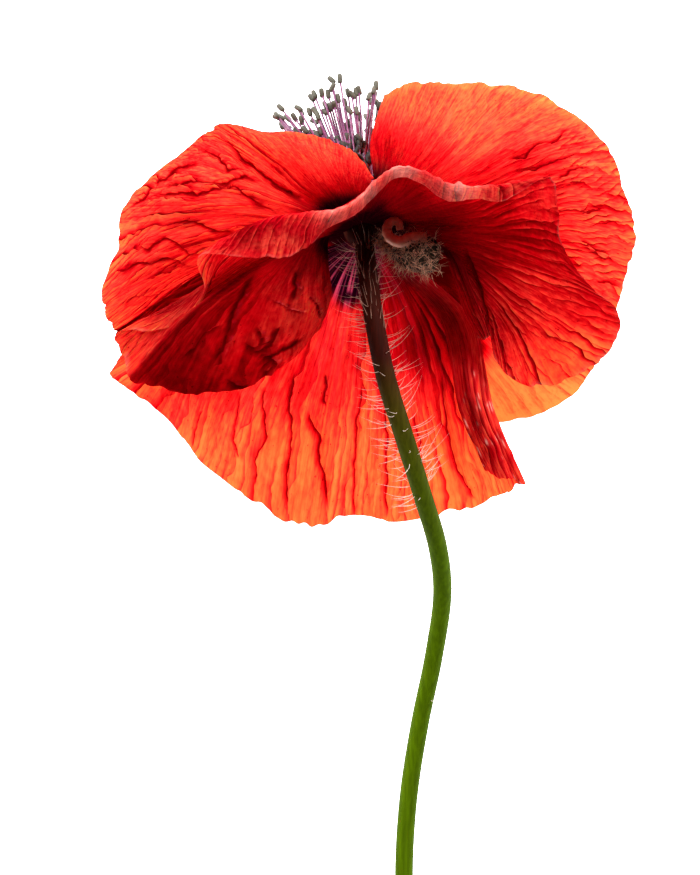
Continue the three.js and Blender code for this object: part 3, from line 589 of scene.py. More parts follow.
hanging = Sheet(fan(HANGING_CLAW, HANGING_RIBS, 170, 260))
hanging.ragged(0.6, 3.0, 32)
wave = np.sin(2 * math.pi * PLEATS * hanging.v + 1.5 * hanging.u)
hanging.lift -= 0.55 * hanging.u**1.3 * wave
flap = step(hanging.v, 0.205, 0.185)
calm = 1 - flap * step(hanging.y, -20, -15)  # no wrinkles at the top of the flap
coarse = 0.85 * step(hanging.u, 0.05, 0.45) * calm
hanging.wrinkle("coarse", 2.6, 0.35, 0.22, 201, share=coarse, cell=(7, 40))
fine = 0.5 * step(hanging.u, 0.3, 0.8) * calm
hanging.wrinkle("fine", 1.1, 0.3, 0.18, 202, share=fine, cell=(4, 20))
for width, path in (
    (0.9, [(-12.5, -20.7), (-12.9, -24), (-12.4, -27.5), (-13.8, -31), (-14.3, -35)]),
    (1.2, [(-8.4, -17.6), (-9.5, -24.3), (-9.2, -28), (-9.8, -31), (-9.7, -39.5)]),
    (1.3, [(-7.3, -24), (-6, -26.5), (-5.2, -28.3), (-5.6, -30.5), (-4.6, -32.3), (-4.1, -38.3)]),
    (0.8, [(-4.7, -19), (-4.2, -21), (-4.8, -24)]),
    (0.7, [(0.4, -20.3), (-0.4, -27), (-0.9, -32.3), (-0.7, -39.5)]),
    (0.8, [(3.4, -22.3), (3.7, -28), (3.6, -32.3), (3.5, -39)]),
    (0.9, [(10.6, -18.6), (11.9, -27), (13.2, -32.3), (15.6, -36.3)]),
    (0.6, [(-16.2, -22), (-17, -27), (-16.5, -31)]),
    (0.6, [(-21, -24), (-22, -27), (-22.5, -29)]),
    (0.6, [(7.2, -24), (8, -29), (8.3, -33), (9, -37)]),
):
    hanging.crease(path, width, 0.35 * width, taper=0.1, share=1 - flap)
hanging_tone = 0.58 - 0.42 * step(-hanging.y, 17, 32)
hanging_tone += 0.05 * grain(hanging.x / 5, hanging.y / 9, 204)
hanging_tone += 0.3 * step(hanging.x, 1, 6) * step(hanging.y, -24, -15)
hanging_tone += 0.1 * grain(hanging.x / 1.6, hanging.y / 9, 209) * step(hanging.y, -30, -20)
flap_margin = [(13.5, -31), (14.2, -27), (12.8, -25.5), (13.5, -23), (15.5, -18), (17.4, -15)]
glossy = flap * step(hanging.beside(flap_margin, 0.3)[0], -0.1, 0.3)
hanging_tone = hanging.toward(hanging_tone, [(-1.8, -9, 1.4, 1), (-31.5, -19.5, 3.5, 0.22)])
hanging_tone += (0.7 + 0.05 * grain(hanging.x / 3, hanging.y / 9, 208) - hanging_tone) * flap
hanging_tone += (0.6 + 0.25 * grain(hanging.x / 1.2, hanging.y / 4, 205) - hanging_tone) * glossy
# painted highlights: pale glossy streaks along the flap
streaks = glossy * step(np.abs(grain(hanging.v * 110, hanging.y / 14, 206)), 0.07, 0.02)
streaks = streaks * step(grain(hanging.x / 1.5, hanging.y / 2.5, 207), 0, 0.3)
hanging_stain = hanging.toward(
    0.9 * step(hanging.reach, 10, 7) * (1 - 0.75 * step(hanging.x, 1.5, 4))
    + 0.12 * step(hanging.x, -10, -4) * step(hanging.y, -30, -14),
    [(-1.8, -9, 1.4, 0.95)],
)
hanging_petal = hanging.object(
    "petal_outer_hanging_tissue",
    TISSUE,
    hanging.drawn(hanging_tone, hanging_stain, streaks, 0.3 * glossy + 0.6 * streaks),
)
hanging_petal.data.materials.append(petal_tissue("hanging_petal_tissue", "#440c38", "#dc84a0", 70))
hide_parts("petal_outer_hanging")
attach(hanging_petal, "root")

# ---------------------------------------------------------------- left inner petal
# One of the two inner petals, sheets of the same thin tissue that grow from the receptacle inside
# the outer two and dome down to margins that touch the table. This one has the coarsest crumples,
# and a deep crease across its upper part.

LEFT_CLAW = (204, 344, 0.6)
LEFT_RIBS = [
    # the lower edge, under the hanging petal
    [[-4.4, -4.2, -7.4], [-9, -9.1, -12], [-18, -16.2, -17.7], [-22, -19.2, -17.7]],
    [[-5.6, -3.6, -7.4], [-12, -7.9, -12], [-24.4, -14.6, -17.7], [-29, -17, -17.7]],
    [[-6.6, -2.9, -6.4], [-14.6, -6.2, -10.4], [-23.6, -9.5, -13.8], [-32.8, -14.4, -17.6]],
    # the lower shoulder
    [[-7.2, -2, -3.6], [-16, -4.2, -3.8], [-24, -7.1, -6.2], [-33.9, -12.8, -15.6]],
    [[-7.4, -1.2, -1.6], [-16, -3, -0.2], [-25, -6, -2.6], [-34.7, -10.8, -15.6]],
    [[-7.6, -0.4, 0.2], [-16.4, -1.2, 2], [-26, -3.4, -0.6], [-35, -8, -16]],
    # the dome
    [[-7.6, 0.6, 1.6], [-16.4, 1, 3.2], [-25.4, -0.2, 0.4], [-33, -2, -16.6]],
    [[-7.4, 1.4, 2.2], [-16, 2.8, 3.8], [-24.2, 3, 0.8], [-32.2, 3.2, -17.4]],
    [[-7, 2, 2.2], [-15, 4.6, 3.6], [-22, 6, 0.6], [-28.6, 7.2, -17.7]],
    [[-6.4, 2.4, 1.6], [-13.4, 6, 2.4], [-19.4, 8.6, -0.2], [-24, 10.7, -15]],
    # the crease
    [[-5.8, 2.8, 0.4], [-11.4, 6.4, 0.6], [-16.4, 10, -1], [-20.8, 13.2, -9.6]],
    [[-5.4, 3.6, 1.2], [-10.2, 7.6, 1.8], [-14.6, 11.4, 0.4], [-18.2, 14.3, -5.6]],
    # the flap above it, beside the stamens
    [[-4.6, 4.4, 3], [-8.4, 8.4, 3.8], [-11.6, 11.6, 2.2], [-13.6, 13.1, -2]],
    [[-3.4, 4.7, 4], [-6, 8.3, 5], [-8, 10.9, 4.2], [-9, 12.8, 0.6]],
    [[-2, 4.7, 4.4], [-3.6, 7.5, 5.6], [-4.6, 9.7, 5.2], [-5, 12, 2.6]],
    [[-0.8, 4.3, 4.6], [-1.4, 6.3, 6], [-1.4, 8.3, 6.2], [-1.3, 10.5, 4.8]],
    [[0.2, 3.7, 4.4], [0.8, 4.9, 5.6], [1.2, 5.9, 6.2], [1.8, 6.7, 6]],
]

left = Sheet(fan(LEFT_CLAW, LEFT_RIBS, 170, 240))
left.ragged(0.5, 2.2, 33)
smooth_flap = 1 - 0.8 * step(left.v, 0.67, 0.73)
left.wrinkle("coarse", 2.4, 0.6, 0.3, 301, share=step(left.u, 0.1, 0.5) * smooth_flap)
fine = 0.9 * step(left.u, 0.2, 0.6) * smooth_flap
left.wrinkle("fine", 1.1, 0.5, 0.25, 302, share=fine, slant=0.25, cell=(4, 12))
left.crease([(-18.5, 12.5), (-17, 11), (-14, 8), (-10, 5.5), (-7, 3.4)], 1.0, 0.6)
for width, path in (
    (0.9, [(-29.2, 3.5), (-25.5, 5.1), (-23, 4.7), (-20, 5.1), (-17.1, 5.6), (-13.8, 3.5), (-8.8, 1.8)]),
    (0.8, [(-27.8, 6.2), (-24.6, 6.4), (-21.7, 6.4), (-18, 6), (-15.5, 6.8), (-13, 6.4)]),
    (0.9, [(-28, 0.6), (-24.6, 1), (-21.3, 0.6), (-18.8, -0.3), (-16.3, 0.1)]),
    (0.8, [(-31.3, -2.8), (-28, -1.9), (-25.5, -1.5), (-23, -2.8), (-21.3, -3.2)]),
    (0.8, [(-33, -6.5), (-30.1, -4.4), (-27.1, -4), (-24.6, -4.4), (-22.1, -5.3)]),
    (0.8, [(-31.7, 3.1), (-29.6, 4.7), (-27.1, 6.8), (-23.8, 8.5), (-20.5, 9.7)]),
    (0.7, [(-33, -10), (-30.5, -8.6), (-27.5, -8.2), (-25, -7.2)]),
    (0.7, [(-22, 11.6), (-19, 9.6), (-17.4, 8.2), (-15, 7.4)]),
):
    left.crease(path, width, 0.3, wander=0.6)
left_tone = 0.52 - 0.2 * step(left.u, 0.88, 1) + 0.06 * grain(left.x / 4, left.y / 4, 304)
left_tone += 0.3 * step(left.reach, 10, 5)
left_tone = left.toward(left_tone, [(-13, 12, 3.5, 0.36), (-5, 11, 3, 0.42)])
# painted shade: the hollow below the lower shoulder is drawn deep red
recess_shade = left.beside([(-19, -3.8), (-21, -5.2), (-27, -9.2), (-33, -13.2)], 0.15)[0]
left_tone += (0.95 - left_tone) * step(-recess_shade, -0.1, 0.2) * step(left.x, -17, -20)
left_petal = left.object(
    "petal_inner_left_tissue", TISSUE, left.drawn(left_tone, 0.9 * step(left.reach, 5.5, 3))
)
left_petal.data.materials.append(petal_tissue("left_petal_tissue", "#300828", "#48103c", 65))
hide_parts("petal_inner_left")
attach(left_petal, "root")

# ---------------------------------------------------------------- right inner petal
# The other inner petal, of the same tissue on a claw of its own. It is smooth beside the stamens and
# finely wrinkled further round, with long fine creases from the middle out to the margin.

RIGHT_CLAW = (16, 156, 0.6)
RIGHT_RIBS = [
    [[1.2, 3.6, 2.4], [1.6, 6.6, 3], [1.2, 11, 2.2], [3.2, 18.4, -3]],
    [[2.2, 4, 2.6], [3.6, 8.2, 3.6], [5, 13.6, 2.2], [7, 19.7, -5]],
    [[3.2, 4, 2.8], [6, 8.5, 4], [9, 14, 1.8], [12, 19.8, -8]],
    [[4.4, 3.8, 3], [8.6, 8.3, 4], [13, 13.6, 1.6], [17.4, 19.8, -10.6]],
    [[5.4, 3.4, 3], [11, 7.7, 4], [16.8, 12.8, 1.6], [23.6, 18.7, -13]],
    [[6.2, 3, 3], [13, 6.8, 3.6], [20.4, 11.4, 1.2], [29, 15.6, -15.4]],
    [[6.8, 2.4, 2.8], [14.6, 5.4, 3.4], [23.4, 8.8, 1], [33.4, 11.4, -17.5]],
    [[7.2, 1.6, 2.4], [15.6, 3.6, 2.8], [25, 5.4, 0.6], [35.6, 5.8, -17.7]],
    [[7.4, 0.8, 1.6], [16, 1.6, 1.8], [25.6, 1.8, -0.4], [37.2, -0.2, -17.7]],
    [[7.4, -0.4, 0.4], [16, -0.8, 0.2], [25.6, -2, -2.2], [36.1, -5.4, -17.4]],
    [[7.2, -1.6, -1.2], [15.6, -3.4, -2], [25, -6.3, -5], [34.3, -11.4, -17]],
    [[6.8, -3, -3.6], [14.8, -6.1, -5.4], [23.6, -10.8, -9], [32.4, -17, -17.2]],
    [[6.2, -3.9, -5.8], [13.6, -8.6, -8.8], [25, -18.4, -17.7], [28.9, -22, -17.7]],
    [[5.2, -4.4, -7.4], [12, -10.7, -11.6], [20.6, -21, -17.7], [23.7, -24.9, -17.7]],
    [[4, -4.6, -8.4], [10.4, -11.9, -13.4], [16, -21, -17.7], [18.2, -26, -17.7]],
]

right = Sheet(fan(RIGHT_CLAW, RIGHT_RIBS, 170, 240))
right.ragged(0.4, 2.8, 34)
wrinkled = step(right.v, 0.3, 0.5) * step(right.v, 0.95, 0.82)  # further round, short of the far edge
coarse = step(right.u, 0.2, 0.6) * (0.2 + 0.8 * wrinkled)
right.wrinkle("coarse", 2.8, 0.6, 0.26, 401, share=coarse)
fine = step(right.u, 0.3, 0.55) * wrinkled
right.wrinkle("fine", 1.1, 0.5, 0.24, 402, share=fine, slant=0.2, cell=(4, 12))
for width, path in (
    (0.9, [(29, 13.4), (25, 11.4), (22, 9.4), (19, 8.4)]),
    (0.8, [(30, 11), (27, 9.2), (24, 8.4), (20, 6.6)]),
    (0.7, [(31.5, 8.2), (28.4, 7.6), (25.6, 6.2)]),
    (0.7, [(33.6, 3), (31, 2.2), (28.6, 2.6)]),
    (0.8, [(34, -3.4), (31.5, -3), (29, -1.2)]),
    (0.7, [(35, -8), (33.4, -7), (31.4, -6.6)]),
):
    right.crease(path, width, 0.3, wander=0.6)
top = step(right.v, 0.42, 0.3)  # the smooth part beside the stamens
right_tone = 0.75 - 0.41 * step(right.reach, 9, 19) * top
right_tone -= 0.3 * step(right.reach, 16, 34) * (1 - top)
right_tone -= 0.15 * step(right.u, 0.93, 1) + 0.4 * step(right.v, 0.76, 0.86)
right_tone += 0.05 * grain(right.x / 5, right.y / 5, 404)
right_tone = right.toward(
    right_tone, [(10.8, -6, 4.5, 1.08), (12.5, -9, 2.5, 1), (14.5, -13, 2.5, 1), (15.5, -16, 2, 1)]
)
right_petal = right.object(
    "petal_inner_right_tissue", TISSUE, right.drawn(right_tone, 0.9 * step(right.reach, 9, 5))
)
right_petal.data.materials.append(petal_tissue("right_petal_tissue", "#300828", "#48103c", 72))
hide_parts("petal_inner_right")
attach(right_petal, "root")

# ---------------------------------------------------------------- stem
# The flower stalk and its swollen end, the receptacle, which grew as one piece. It is a tough green
# tube that turns purple brown near the flower. Stiff pale bristles grow out of its skin: they stand
# out and curve towards the flower, and near it some lie flat.

STEM_PATH = [  # from the flower to the cut end
    [0.16, -0.8, 0.58],
    [0.6, -3.9, 2.6],
    [1.5, -11, 5.6],
    [3.2, -19.7, 6.2],
    [5.8, -28.1, 4.4],
    [8.3, -36, 0.4],
    [10.2, -42.4, -4],
    [10.9, -48.8, -8.4],
    [9.8, -57.3, -12.4],
    [7.9, -66.7, -14.8],
    [6.4, -76.6, -16.2],
    [5.8, -87, -16.82],
    [6.2, -97, -16.82],
]
STEM_STEPS = 180
STEM_RADIUS = 1.23  # mm, at the cut end
STEM_SWELL = 0.08  # mm, how much more it is near the flower
RECEPTACLE = [  # height along AXIS and radius, in mm
    (-3.1, 1.15),
    (-2.5, 1.5),
    (-1.9, 1.9),
    (-1.1, 2.3),
    (-0.4, 2.45),
    (0.7, 2.4),
    (1.2, 1.9),
]
STEM_BROWNING = (-6, 21)  # mm of y, over which its skin turns from green to brown


def tube(points, radii, sides):
    """A small mesh: a tube along points, in mm from the head, closed at both ends."""
    points = np.asarray(points, float)
    tangents = unit(np.gradient(points, axis=0))
    bm = bmesh.new()
    bmesh.ops.create_circle(bm, cap_ends=True, segments=sides, radius=1)
    turn = Vector((0, 0, 1)).rotation_difference(Vector(tangents[0]))
    start = Matrix.Translation(points[0]) @ turn.to_matrix().to_4x4() @ Matrix.Scale(radii[0], 4)
    bmesh.ops.transform(bm, matrix=start, verts=bm.verts)
    edges = list(bm.edges)
    for k in range(1, len(points)):
        made = bmesh.ops.extrude_edge_only(bm, edges=edges)["geom"]
        ring = [item for item in made if isinstance(item, bmesh.types.BMVert)]
        edges = [item for item in made if isinstance(item, bmesh.types.BMEdge)]
        turn = Vector(tangents[k - 1]).rotation_difference(Vector(tangents[k]))
        move = (
            Matrix.Translation(points[k])
            @ turn.to_matrix().to_4x4()
            @ Matrix.Scale(radii[k] / radii[k - 1], 4)
            @ Matrix.Translation(-Vector(points[k - 1]))
        )
        bmesh.ops.transform(bm, matrix=move, verts=ring)
    bmesh.ops.contextual_create(bm, geom=edges)
    bmesh.ops.recalc_face_normals(bm, faces=bm.faces)
    mesh = bpy.data.meshes.new("tube")
    bm.to_mesh(mesh)
    bm.free()
    return mesh


def gather(name, meshes):
    """One object, in metres in the frame, from small meshes in mm from the head."""
    bm = bmesh.new()
    for mesh in meshes:
        bm.from_mesh(mesh)
        bpy.data.meshes.remove(mesh)
    for face in bm.faces:
        face.smooth = True
    in_frame = Matrix.Scale(MM, 4) @ Matrix.Translation(Vector(HEAD))
    bmesh.ops.transform(bm, matrix=in_frame, verts=bm.verts)
    mesh = bpy.data.meshes.new(name)
    bm.to_mesh(mesh)
    bm.free()
    piece = bpy.data.objects.new(name, mesh)
    bpy.context.scene.collection.objects.link(piece)
    return piece


def bristle(root, direction, length, radius, bend, rng, pull=(0, 0, 0)):
    """A stiff three-sided hair that tapers from its root and curves by bend, towards pull."""
    direction = unit(direction)
    side = unit(unit(np.cross(direction, rng.normal(size=3))) + np.asarray(pull))
    t = np.linspace(0, 1, 7)[:, None]
    points = root + direction * length * t + side * bend * length * t**2
    return tube(points, radius * (1.1 - t[:, 0] ** 1.5), 3)


def turned(profile):
    """A round tube along AXIS, from pairs of height and radius in mm."""
    return tube([AXIS * height for height, _ in profile], [radius for _, radius in profile], 24)


def up_the_flower(tree, start, end):
    """0 to 1 from a place in y to another, in mm of the frame."""
    place = node(tree, "ShaderNodeTexCoord").outputs["Object"]
    split = node(tree, "ShaderNodeSeparateXYZ", {"Vector": place})
    limits = {"Value": split.outputs["Y"], 1: start * MM, 2: end * MM, 3: 0, 4: 1}
    return node(tree, "ShaderNodeMapRange", limits).outputs[0]


def coat(piece, material, colour, finish):
    """Ends a material in a solid skin of that colour and finish, and puts it on the piece."""
    tree = material.node_tree
    skin = node(tree, "ShaderNodeBsdfPrincipled", {"Base Color": colour} | finish)
    node(tree, "ShaderNodeOutputMaterial", {"Surface": skin.outputs["BSDF"]})
    piece.data.materials.append(material)


stem_line = smooth_curves(np.array([STEM_PATH], float), np.linspace(0, 1, STEM_STEPS + 1))[0]
stem_radii = STEM_RADIUS + STEM_SWELL * step(stem_line[:, 1], -70, -20)
stem_piece = gather("stem_skin", [tube(stem_line, stem_radii, 24), turned(RECEPTACLE)])

# Poppy stem skin: a tough rind over fibres that run along it. It is dull, with no sheen, and the
# fibres streak it. They are drawn 0.4 mm wide and 4 mm long, coarser than life, so that they show.
stem_material, tree = blank_material("poppy_stem_skin")
place = node(tree, "ShaderNodeTexCoord").outputs["Object"]
fibres = node(tree, "ShaderNodeMapping", {"Vector": place, "Scale": (2400, 240, 2400)})
fibres = {"Vector": fibres.outputs["Vector"], "Scale": 1.0, "Detail": 3.0}
fibres = node(tree, "ShaderNodeTexNoise", fibres).outputs["Fac"]
browning = up_the_flower(tree, *STEM_BROWNING)
skin_colour = {"Factor": browning, 6: linear("#567202"), 7: linear("#481a12")}
skin_colour = node(tree, "ShaderNodeMix", skin_colour, data_type="RGBA").outputs[2]
streaks = {"Factor": fibres, 6: linear("#8a8a8a"), 7: linear("#ffffff")}
streaks = node(tree, "ShaderNodeMix", streaks, data_type="RGBA").outputs[2]
streaked = {"Factor": 1.0, 6: skin_colour, 7: streaks}
streaked = node(
    tree, "ShaderNodeMix", streaked, data_type="RGBA", blend_type="MULTIPLY"
).outputs[2]
relief = node(tree, "ShaderNodeBump", {"Height": fibres, "Strength": 0.3, "Distance": 0.1 * MM})
rind = {"Roughness": 0.6, "Specular IOR Level": 0.02, "Normal": relief.outputs["Normal"]}
coat(stem_piece, stem_material, streaked, rind)
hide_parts("stem")
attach(stem_piece, "root")

BRISTLE_COUNT = 520  # before those that have no room, or would hide the stem, are left out
BRISTLE_ROOT = 1.15  # mm, from the middle of the stem
BRISTLE_RADIUS = 0.042  # mm
BRISTLE_DARKENING = (12, 24)  # mm of y, over which the pale bristles turn tan
GOLDEN_RATIO = 0.618034  # steps of it along the stem leave no gaps and no rows

rng = np.random.default_rng(5)
bristles = []
for k in range(BRISTLE_COUNT):
    place_along = 0.01 + 0.4 * (GOLDEN_RATIO * k % 1) if k % 6 else rng.uniform(0.4, 0.99)
    spot = place_along * STEM_STEPS
    low = min(int(spot), STEM_STEPS - 1)
    centre = stem_line[low] * (1 - spot + low) + stem_line[low + 1] * (spot - low)
    run = unit(stem_line[low + 1] - stem_line[low])
    out = unit(np.cross(run, rng.normal(size=3)))
    flat = place_along < 0.2 and k % 2 == 0  # near the flower every other one lies along the stem
    reach = rng.uniform(2.0, 4.2)
    bend = rng.uniform(0.2, 0.6)
    if centre[2] + HEAD[2] < 6 and out[2] < -0.2:  # it would reach into the table
        continue
    if not flat and (out[2] > 0.45 and k % 5 or place_along < 0.04 and k % 4):
        continue
    lean = out * 0.3 - run if flat else out + 0.15 * rng.normal() * run
    reach = 0.6 * reach if flat else reach
    root = centre + out * BRISTLE_ROOT
    bristles.append(bristle(root, lean, reach, BRISTLE_RADIUS, bend, rng, pull=-1.5 * run))
bristle_piece = gather("stem_bristles", bristles)

# Poppy bristles: stiff hairs of clear dead cells. They are pale, shine a little and glow with the
# light behind them, and near the flower they are tan.
bristle_material, tree = blank_material("pale_bristle")
darkening = up_the_flower(tree, *BRISTLE_DARKENING)
hair_colour = {"Factor": darkening, 6: linear("#fae6da"), 7: linear("#c49078")}
hair_colour = node(tree, "ShaderNodeMix", hair_colour, data_type="RGBA").outputs[2]
hair = {"Base Color": hair_colour, "Roughness": 0.4, "Specular IOR Level": 0.4}
hair = node(tree, "ShaderNodeBsdfPrincipled", hair)
lit_hair = node(tree, "ShaderNodeBsdfTranslucent", {"Color": linear("#fff4ea")})
both = {"Fac": 0.4, 1: hair.outputs["BSDF"], 2: lit_hair.outputs["BSDF"]}
both = node(tree, "ShaderNodeMixShader", both)
node(tree, "ShaderNodeOutputMaterial", {"Surface": both.outputs["Shader"]})
bristle_piece.data.materials.append(bristle_material)
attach(bristle_piece, "root")

# ---------------------------------------------------------------- sepal
# The one sepal that hasn't fallen: a leathery, hairy boat that cupped the bud. It hangs from the
# receptacle on the right. Its smooth inner skin shows where the upper edge turns over in a curl.

SEPAL_CLAW = (108, 84, -1.6)
SEPAL_RIBS = [
    [[3.3, -2.8, 2.2], [5.6, -5.2, 4.6], [8.6, -6.2, 4.8]],
    [[3.5, -2.7, 3.8], [6, -4.7, 7], [9.8, -5.4, 6.4]],
    [[3.6, -2.3, 4.8], [6.4, -3.4, 8.2], [10.4, -3.8, 7.4]],
    [[3.5, -1.8, 5], [6.4, -2, 8.2], [10, -2, 7.6]],
    [[3.3, -1.6, 4.6], [6, -1.4, 7.4], [8.6, -1.2, 7.2]],
]
CURL = [
    [8.4, -1.5, 7.5],
    [6.6, -1.5, 8.3],
    [5.2, -2, 8.5],
    [4, -1.6, 8.2],
    [3.4, -0.6, 7.8],
    [3.6, 0.4, 7.4],
    [4.4, 0.8, 7.2],
    [5, 0.4, 7.2],
    [5.1, -0.4, 7.2],
]
CURL_RIBS = 13
SEPAL_THICKNESS = 0.3  # mm
SEPAL_MIDDLE = [6.6, -3.6, 5]  # its bristles lean away from here
SEPAL_BRISTLE_COUNT = 950
SEPAL_BRISTLE_RADIUS = 0.045  # mm
ROWS, COLUMNS = 40, 30  # of faces, along and across


def mottled(tree, spots_per_mm, detail, dark, light, limits=None):
    """A colour that wanders between two in soft spots, or more sharply between two limits."""
    place = node(tree, "ShaderNodeTexCoord").outputs["Object"]
    spots = {"Vector": place, "Scale": spots_per_mm / MM, "Detail": detail}
    spots = node(tree, "ShaderNodeTexNoise", spots).outputs["Fac"]
    if limits:
        spots = {"Value": spots, 1: limits[0], 2: limits[1], 3: 0, 4: 1}
        spots = node(tree, "ShaderNodeMapRange", spots).outputs[0]
    colour = {"Factor": spots, 6: linear(dark), 7: linear(light)}
    return node(tree, "ShaderNodeMix", colour, data_type="RGBA").outputs[2]


sepal = Sheet(fan(SEPAL_CLAW, SEPAL_RIBS, ROWS, COLUMNS))
sepal.lift += 0.1 * grain(sepal.x, sepal.y, 501)
sepal_piece = sepal.object("sepal_skin", SEPAL_THICKNESS, {})

# Sepal skin: a dying leaf's, dry and leathery. It is dull and nearly black, in spots of 1.1 mm.
sepal_material, tree = blank_material("sepal_skin")
sepal_colour = mottled(tree, 0.9, 3.0, "#120e06", "#3a2c18")
coat(sepal_piece, sepal_material, sepal_colour, {"Roughness": 0.8, "Specular IOR Level": 0.1})
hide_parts("sepal")
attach(sepal_piece, "root")

along = np.linspace(0, 1, 81)
curl_line = smooth_curves(np.array([CURL], float), along)[0]
curl_radii = (0.85 - 0.35 * along) * (1 + 0.05 * np.sin(2 * math.pi * CURL_RIBS * along))
curl_piece = gather("sepal_curl", [tube(curl_line, curl_radii, 16)])

# The sepal's inner skin: a hairless leaf skin. It is smooth and has a gloss, and it is pink brown in
# blotches of 1.4 mm.
curl_material, tree = blank_material("sepal_inner_skin")
curl_colour = mottled(tree, 0.7, 3.0, "#b05840", "#f8b090")
coat(curl_piece, curl_material, curl_colour, {"Roughness": 0.35})
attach(curl_piece, "root")

rng = np.random.default_rng(6)
sepal_bristles = []
for k in range(SEPAL_BRISTLE_COUNT):
    row, column = rng.integers(6, ROWS + 1), rng.integers(0, COLUMNS + 1)
    root = sepal.points[row, column] + 0.15 * rng.normal(size=3)
    outward = unit(root - np.array(SEPAL_MIDDLE)) * 0.35 + rng.normal(size=3) * 0.7
    outward += np.array([0.15, -0.1, 0.3])
    outward[2] = abs(outward[2])
    reach = rng.uniform(0.9, 2.1)
    bend = rng.uniform(0.3, 0.9)
    sepal_bristles.append(bristle(root, outward, reach, SEPAL_BRISTLE_RADIUS, bend, rng))
sepal_hair_piece = gather("sepal_bristles", sepal_bristles)

# The sepal's bristles: dead hairs, dry and dull. They are brown to tan, in tufts 0.8 mm across.
tan_material, tree = blank_material("tan_bristle")
tan_colour = mottled(tree, 1.3, 2.0, "#6a3c2c", "#f0b898", limits=(0.35, 0.6))
coat(sepal_hair_piece, tan_material, tan_colour, {"Roughness": 0.5, "Specular IOR Level": 0.2})
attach(sepal_hair_piece, "root")

# ---------------------------------------------------------------- pistil
# The ovary, a pale green barrel that becomes the seed capsule, and on it the lid of stigmas. It is
# soft green tissue, and it grows from the top of the receptacle, inside the ring of stamens.

OVARY = [  # height along AXIS and radius, in mm
    (1.6, 0.9),
    (2.7, 0.9),
    (3.4, 1.35),
    (4.6, 1.5),
    (6.0, 1.5),
    (7.0, 1.25),
    (7.3, 1.1),
]
LID = [(7.3, 1.5), (7.6, 1.8), (8.1, 1.8), (8.5, 0.8)]

pistil_piece = gather("ovary", [turned(OVARY), turned(LID)])

# Ovary skin: a young capsule's, with a bloom of wax. It is a soft pale green, in clouds of 2 mm.
pistil_material, tree = blank_material("ovary_skin")
pistil_colour = mottled(tree, 0.5, 2.0, "#7d9a68", "#b4c89a")
coat(pistil_piece, pistil_material, pistil_colour, {"Roughness": 0.55})
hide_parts("pistil")
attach(pistil_piece, "root")

# ---------------------------------------------------------------- stamens
# Some 270 thin purple filaments, which grow from the receptacle in a ring round the ovary. Each
# carries a blackish anther, an oblong case dusted with pollen, at its tip.

STAMEN_COUNT = 270
LONG_COUNT = 105  # of them stand out past the petals
LONGEST = 20.6  # mm
FILAMENT_RADIUS = 0.14  # mm
ANTHER_LENGTH = 1.35  # mm
ANTHER_SHAPE = [(-0.5, 0.14), (-0.44, 0.3), (-0.2, 0.36), (0.2, 0.36), (0.44, 0.3), (0.5, 0.14)]
GOLDEN_ANGLE = 137.508  # degrees from one stamen to the next
OPEN_AIR = (48.5, 53.5)  # mm of y, over which the anthers come out of the petals' shade

rng = np.random.default_rng(8)
filaments = []
anthers = []
for k in range(STAMEN_COUNT):
    degrees = GOLDEN_ANGLE * k
    turn = math.radians(degrees)
    reach = math.sqrt(rng.uniform(0.02, 1))
    sideways = math.radians(-3 + 28 * reach * math.sin(turn))
    upward = math.radians(5 + 17 * reach * math.cos(turn))
    lean = unit(AXIS + RIGHT * math.tan(sideways) + FRONT * math.tan(upward))
    length = LONGEST * (rng.uniform(0.66, 1) if k < LONG_COUNT else rng.uniform(0.37, 0.6))
    root = around(degrees, rng.uniform(1.5, 2.4), 1.9)
    waist = around(degrees, rng.uniform(1.9, 3.0), 7.6) + lean
    tip = waist + lean * (length - 8)
    line = smooth_curves(np.array([[root, waist, tip]]), np.linspace(0, 1, 9))[0]
    filaments.append(tube(line, [FILAMENT_RADIUS] * len(line), 6))
    nod = unit(lean + 0.35 * rng.normal(size=3))
    case = [tip + nod * ANTHER_LENGTH * t for t, _ in ANTHER_SHAPE]
    anthers.append(tube(case, [radius for _, radius in ANTHER_SHAPE], 8))
filament_piece = gather("filaments", filaments)
anther_piece = gather("anthers", anthers)

# Filament skin: a living thread's, taut and moist. It glints along its length, and its purple comes
# and goes over 1.7 mm.
filament_material, tree = blank_material("filament_skin")
filament_colour = mottled(tree, 0.6, 2.0, "#542046", "#8c4a74")
coat(filament_piece, filament_material, filament_colour, {"Roughness": 0.3})

# Anther case: a dry case that has split and shed its pollen. It is dull and blackish, with grey dust
# in grains of 0.4 mm, coarser than life, and it is darker where the petals shade it.
anther_material, tree = blank_material("anther_case")
dusted = mottled(tree, 2.5, 3.0, "#2c2a20", "#605c4c")
anther_colour = {"Factor": up_the_flower(tree, *OPEN_AIR), 6: linear("#14120e"), 7: dusted}
anther_colour = node(tree, "ShaderNodeMix", anther_colour, data_type="RGBA").outputs[2]
coat(anther_piece, anther_material, anther_colour, {"Roughness": 0.7})
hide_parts("stamens")
for piece in (filament_piece, anther_piece):
    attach(piece, "root")

# ---------------------------------------------------------------- surface, light and camera
# A white light table: the flower lies on it, and the light that comes up through the petals shows
# how many layers there are. Two broad soft lamps above give the gloss.

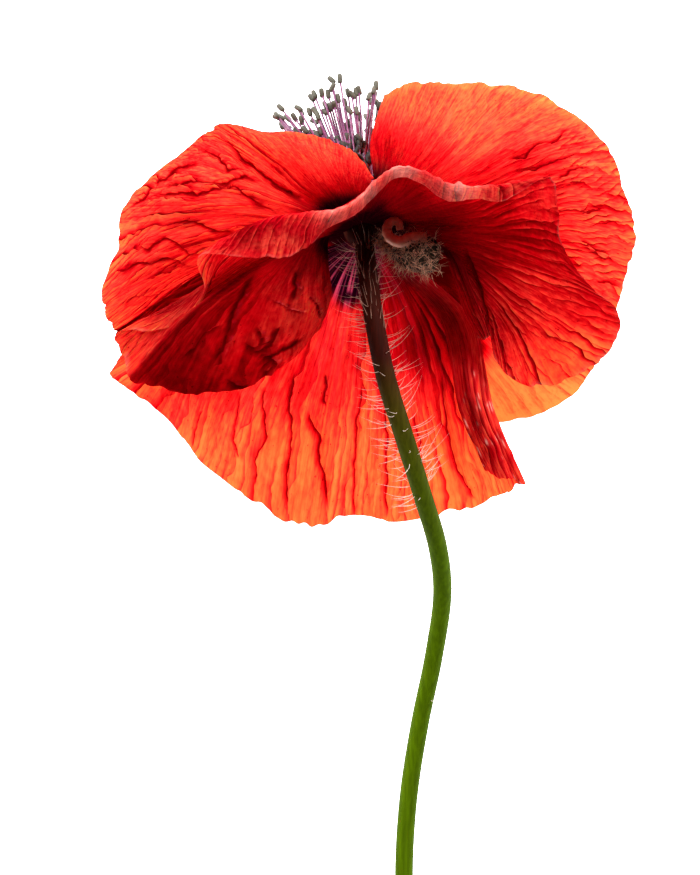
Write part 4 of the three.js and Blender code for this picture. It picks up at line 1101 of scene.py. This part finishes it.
TABLE_HALF = 3  # m, from the table's middle to its edges
CAMERA_HEIGHT = 1.2  # m above the head
VIEW_HEIGHT = 0.1167  # m seen from top to bottom, level with the head
VIEW_CENTRE = (-1.5, -27.9)  # mm, from the head to the middle of the view
SENSOR = 36  # mm

floor_mesh = bpy.data.meshes.new("floor")
bm = bmesh.new()
bmesh.ops.create_grid(bm, x_segments=1, y_segments=1, size=TABLE_HALF)
bm.to_mesh(floor_mesh)
bm.free()
floor = bpy.data.objects.new("floor", floor_mesh)
bpy.context.scene.collection.objects.link(floor)

# Opal acrylic over lamps: an even white glow with no pattern, that drowns the flower's shadow.
floor_material, _ = blank_material("white_light_table")
lit = {"Roughness": 0.6, "Emission Color": linear("#ffffff"), "Emission Strength": 2.5}
coat(floor, floor_material, linear("#f4f4f4"), lit)

world = bpy.data.worlds.new("studio")
world.use_nodes = True
background = world.node_tree.nodes["Background"]
background.inputs["Color"].default_value = linear("#ffffff")
background.inputs["Strength"].default_value = 0.05
bpy.context.scene.world = world

for name, place, power in (
    ("key_lamp", (-0.5, 0.65, 0.5), 14),
    ("fill_lamp", (0.45, 0.45, 0.7), 10),
):
    lamp_data = bpy.data.lights.new(name, "AREA")
    lamp_data.shape = "DISK"
    lamp_data.size = 0.3
    lamp_data.energy = power
    lamp = bpy.data.objects.new(name, lamp_data)
    bpy.context.scene.collection.objects.link(lamp)
    lamp.location = place
    lamp.rotation_euler = (Vector((0, 0.03, 0)) - lamp.location).to_track_quat("-Z", "Y").to_euler()

camera_data = bpy.data.cameras.new("camera")
camera_data.sensor_width = SENSOR
camera_data.lens = SENSOR * CAMERA_HEIGHT / VIEW_HEIGHT
camera_data.clip_end = 20
camera = bpy.data.objects.new("camera", camera_data)
bpy.context.scene.collection.objects.link(camera)
view_x, view_y = HEAD[0] + VIEW_CENTRE[0], HEAD[1] + VIEW_CENTRE[1]
camera.location = (view_x * MM, view_y * MM, HEAD[2] * MM + CAMERA_HEIGHT)
bpy.context.scene.camera = camera
bpy.context.scene.view_settings.view_transform = "Standard"
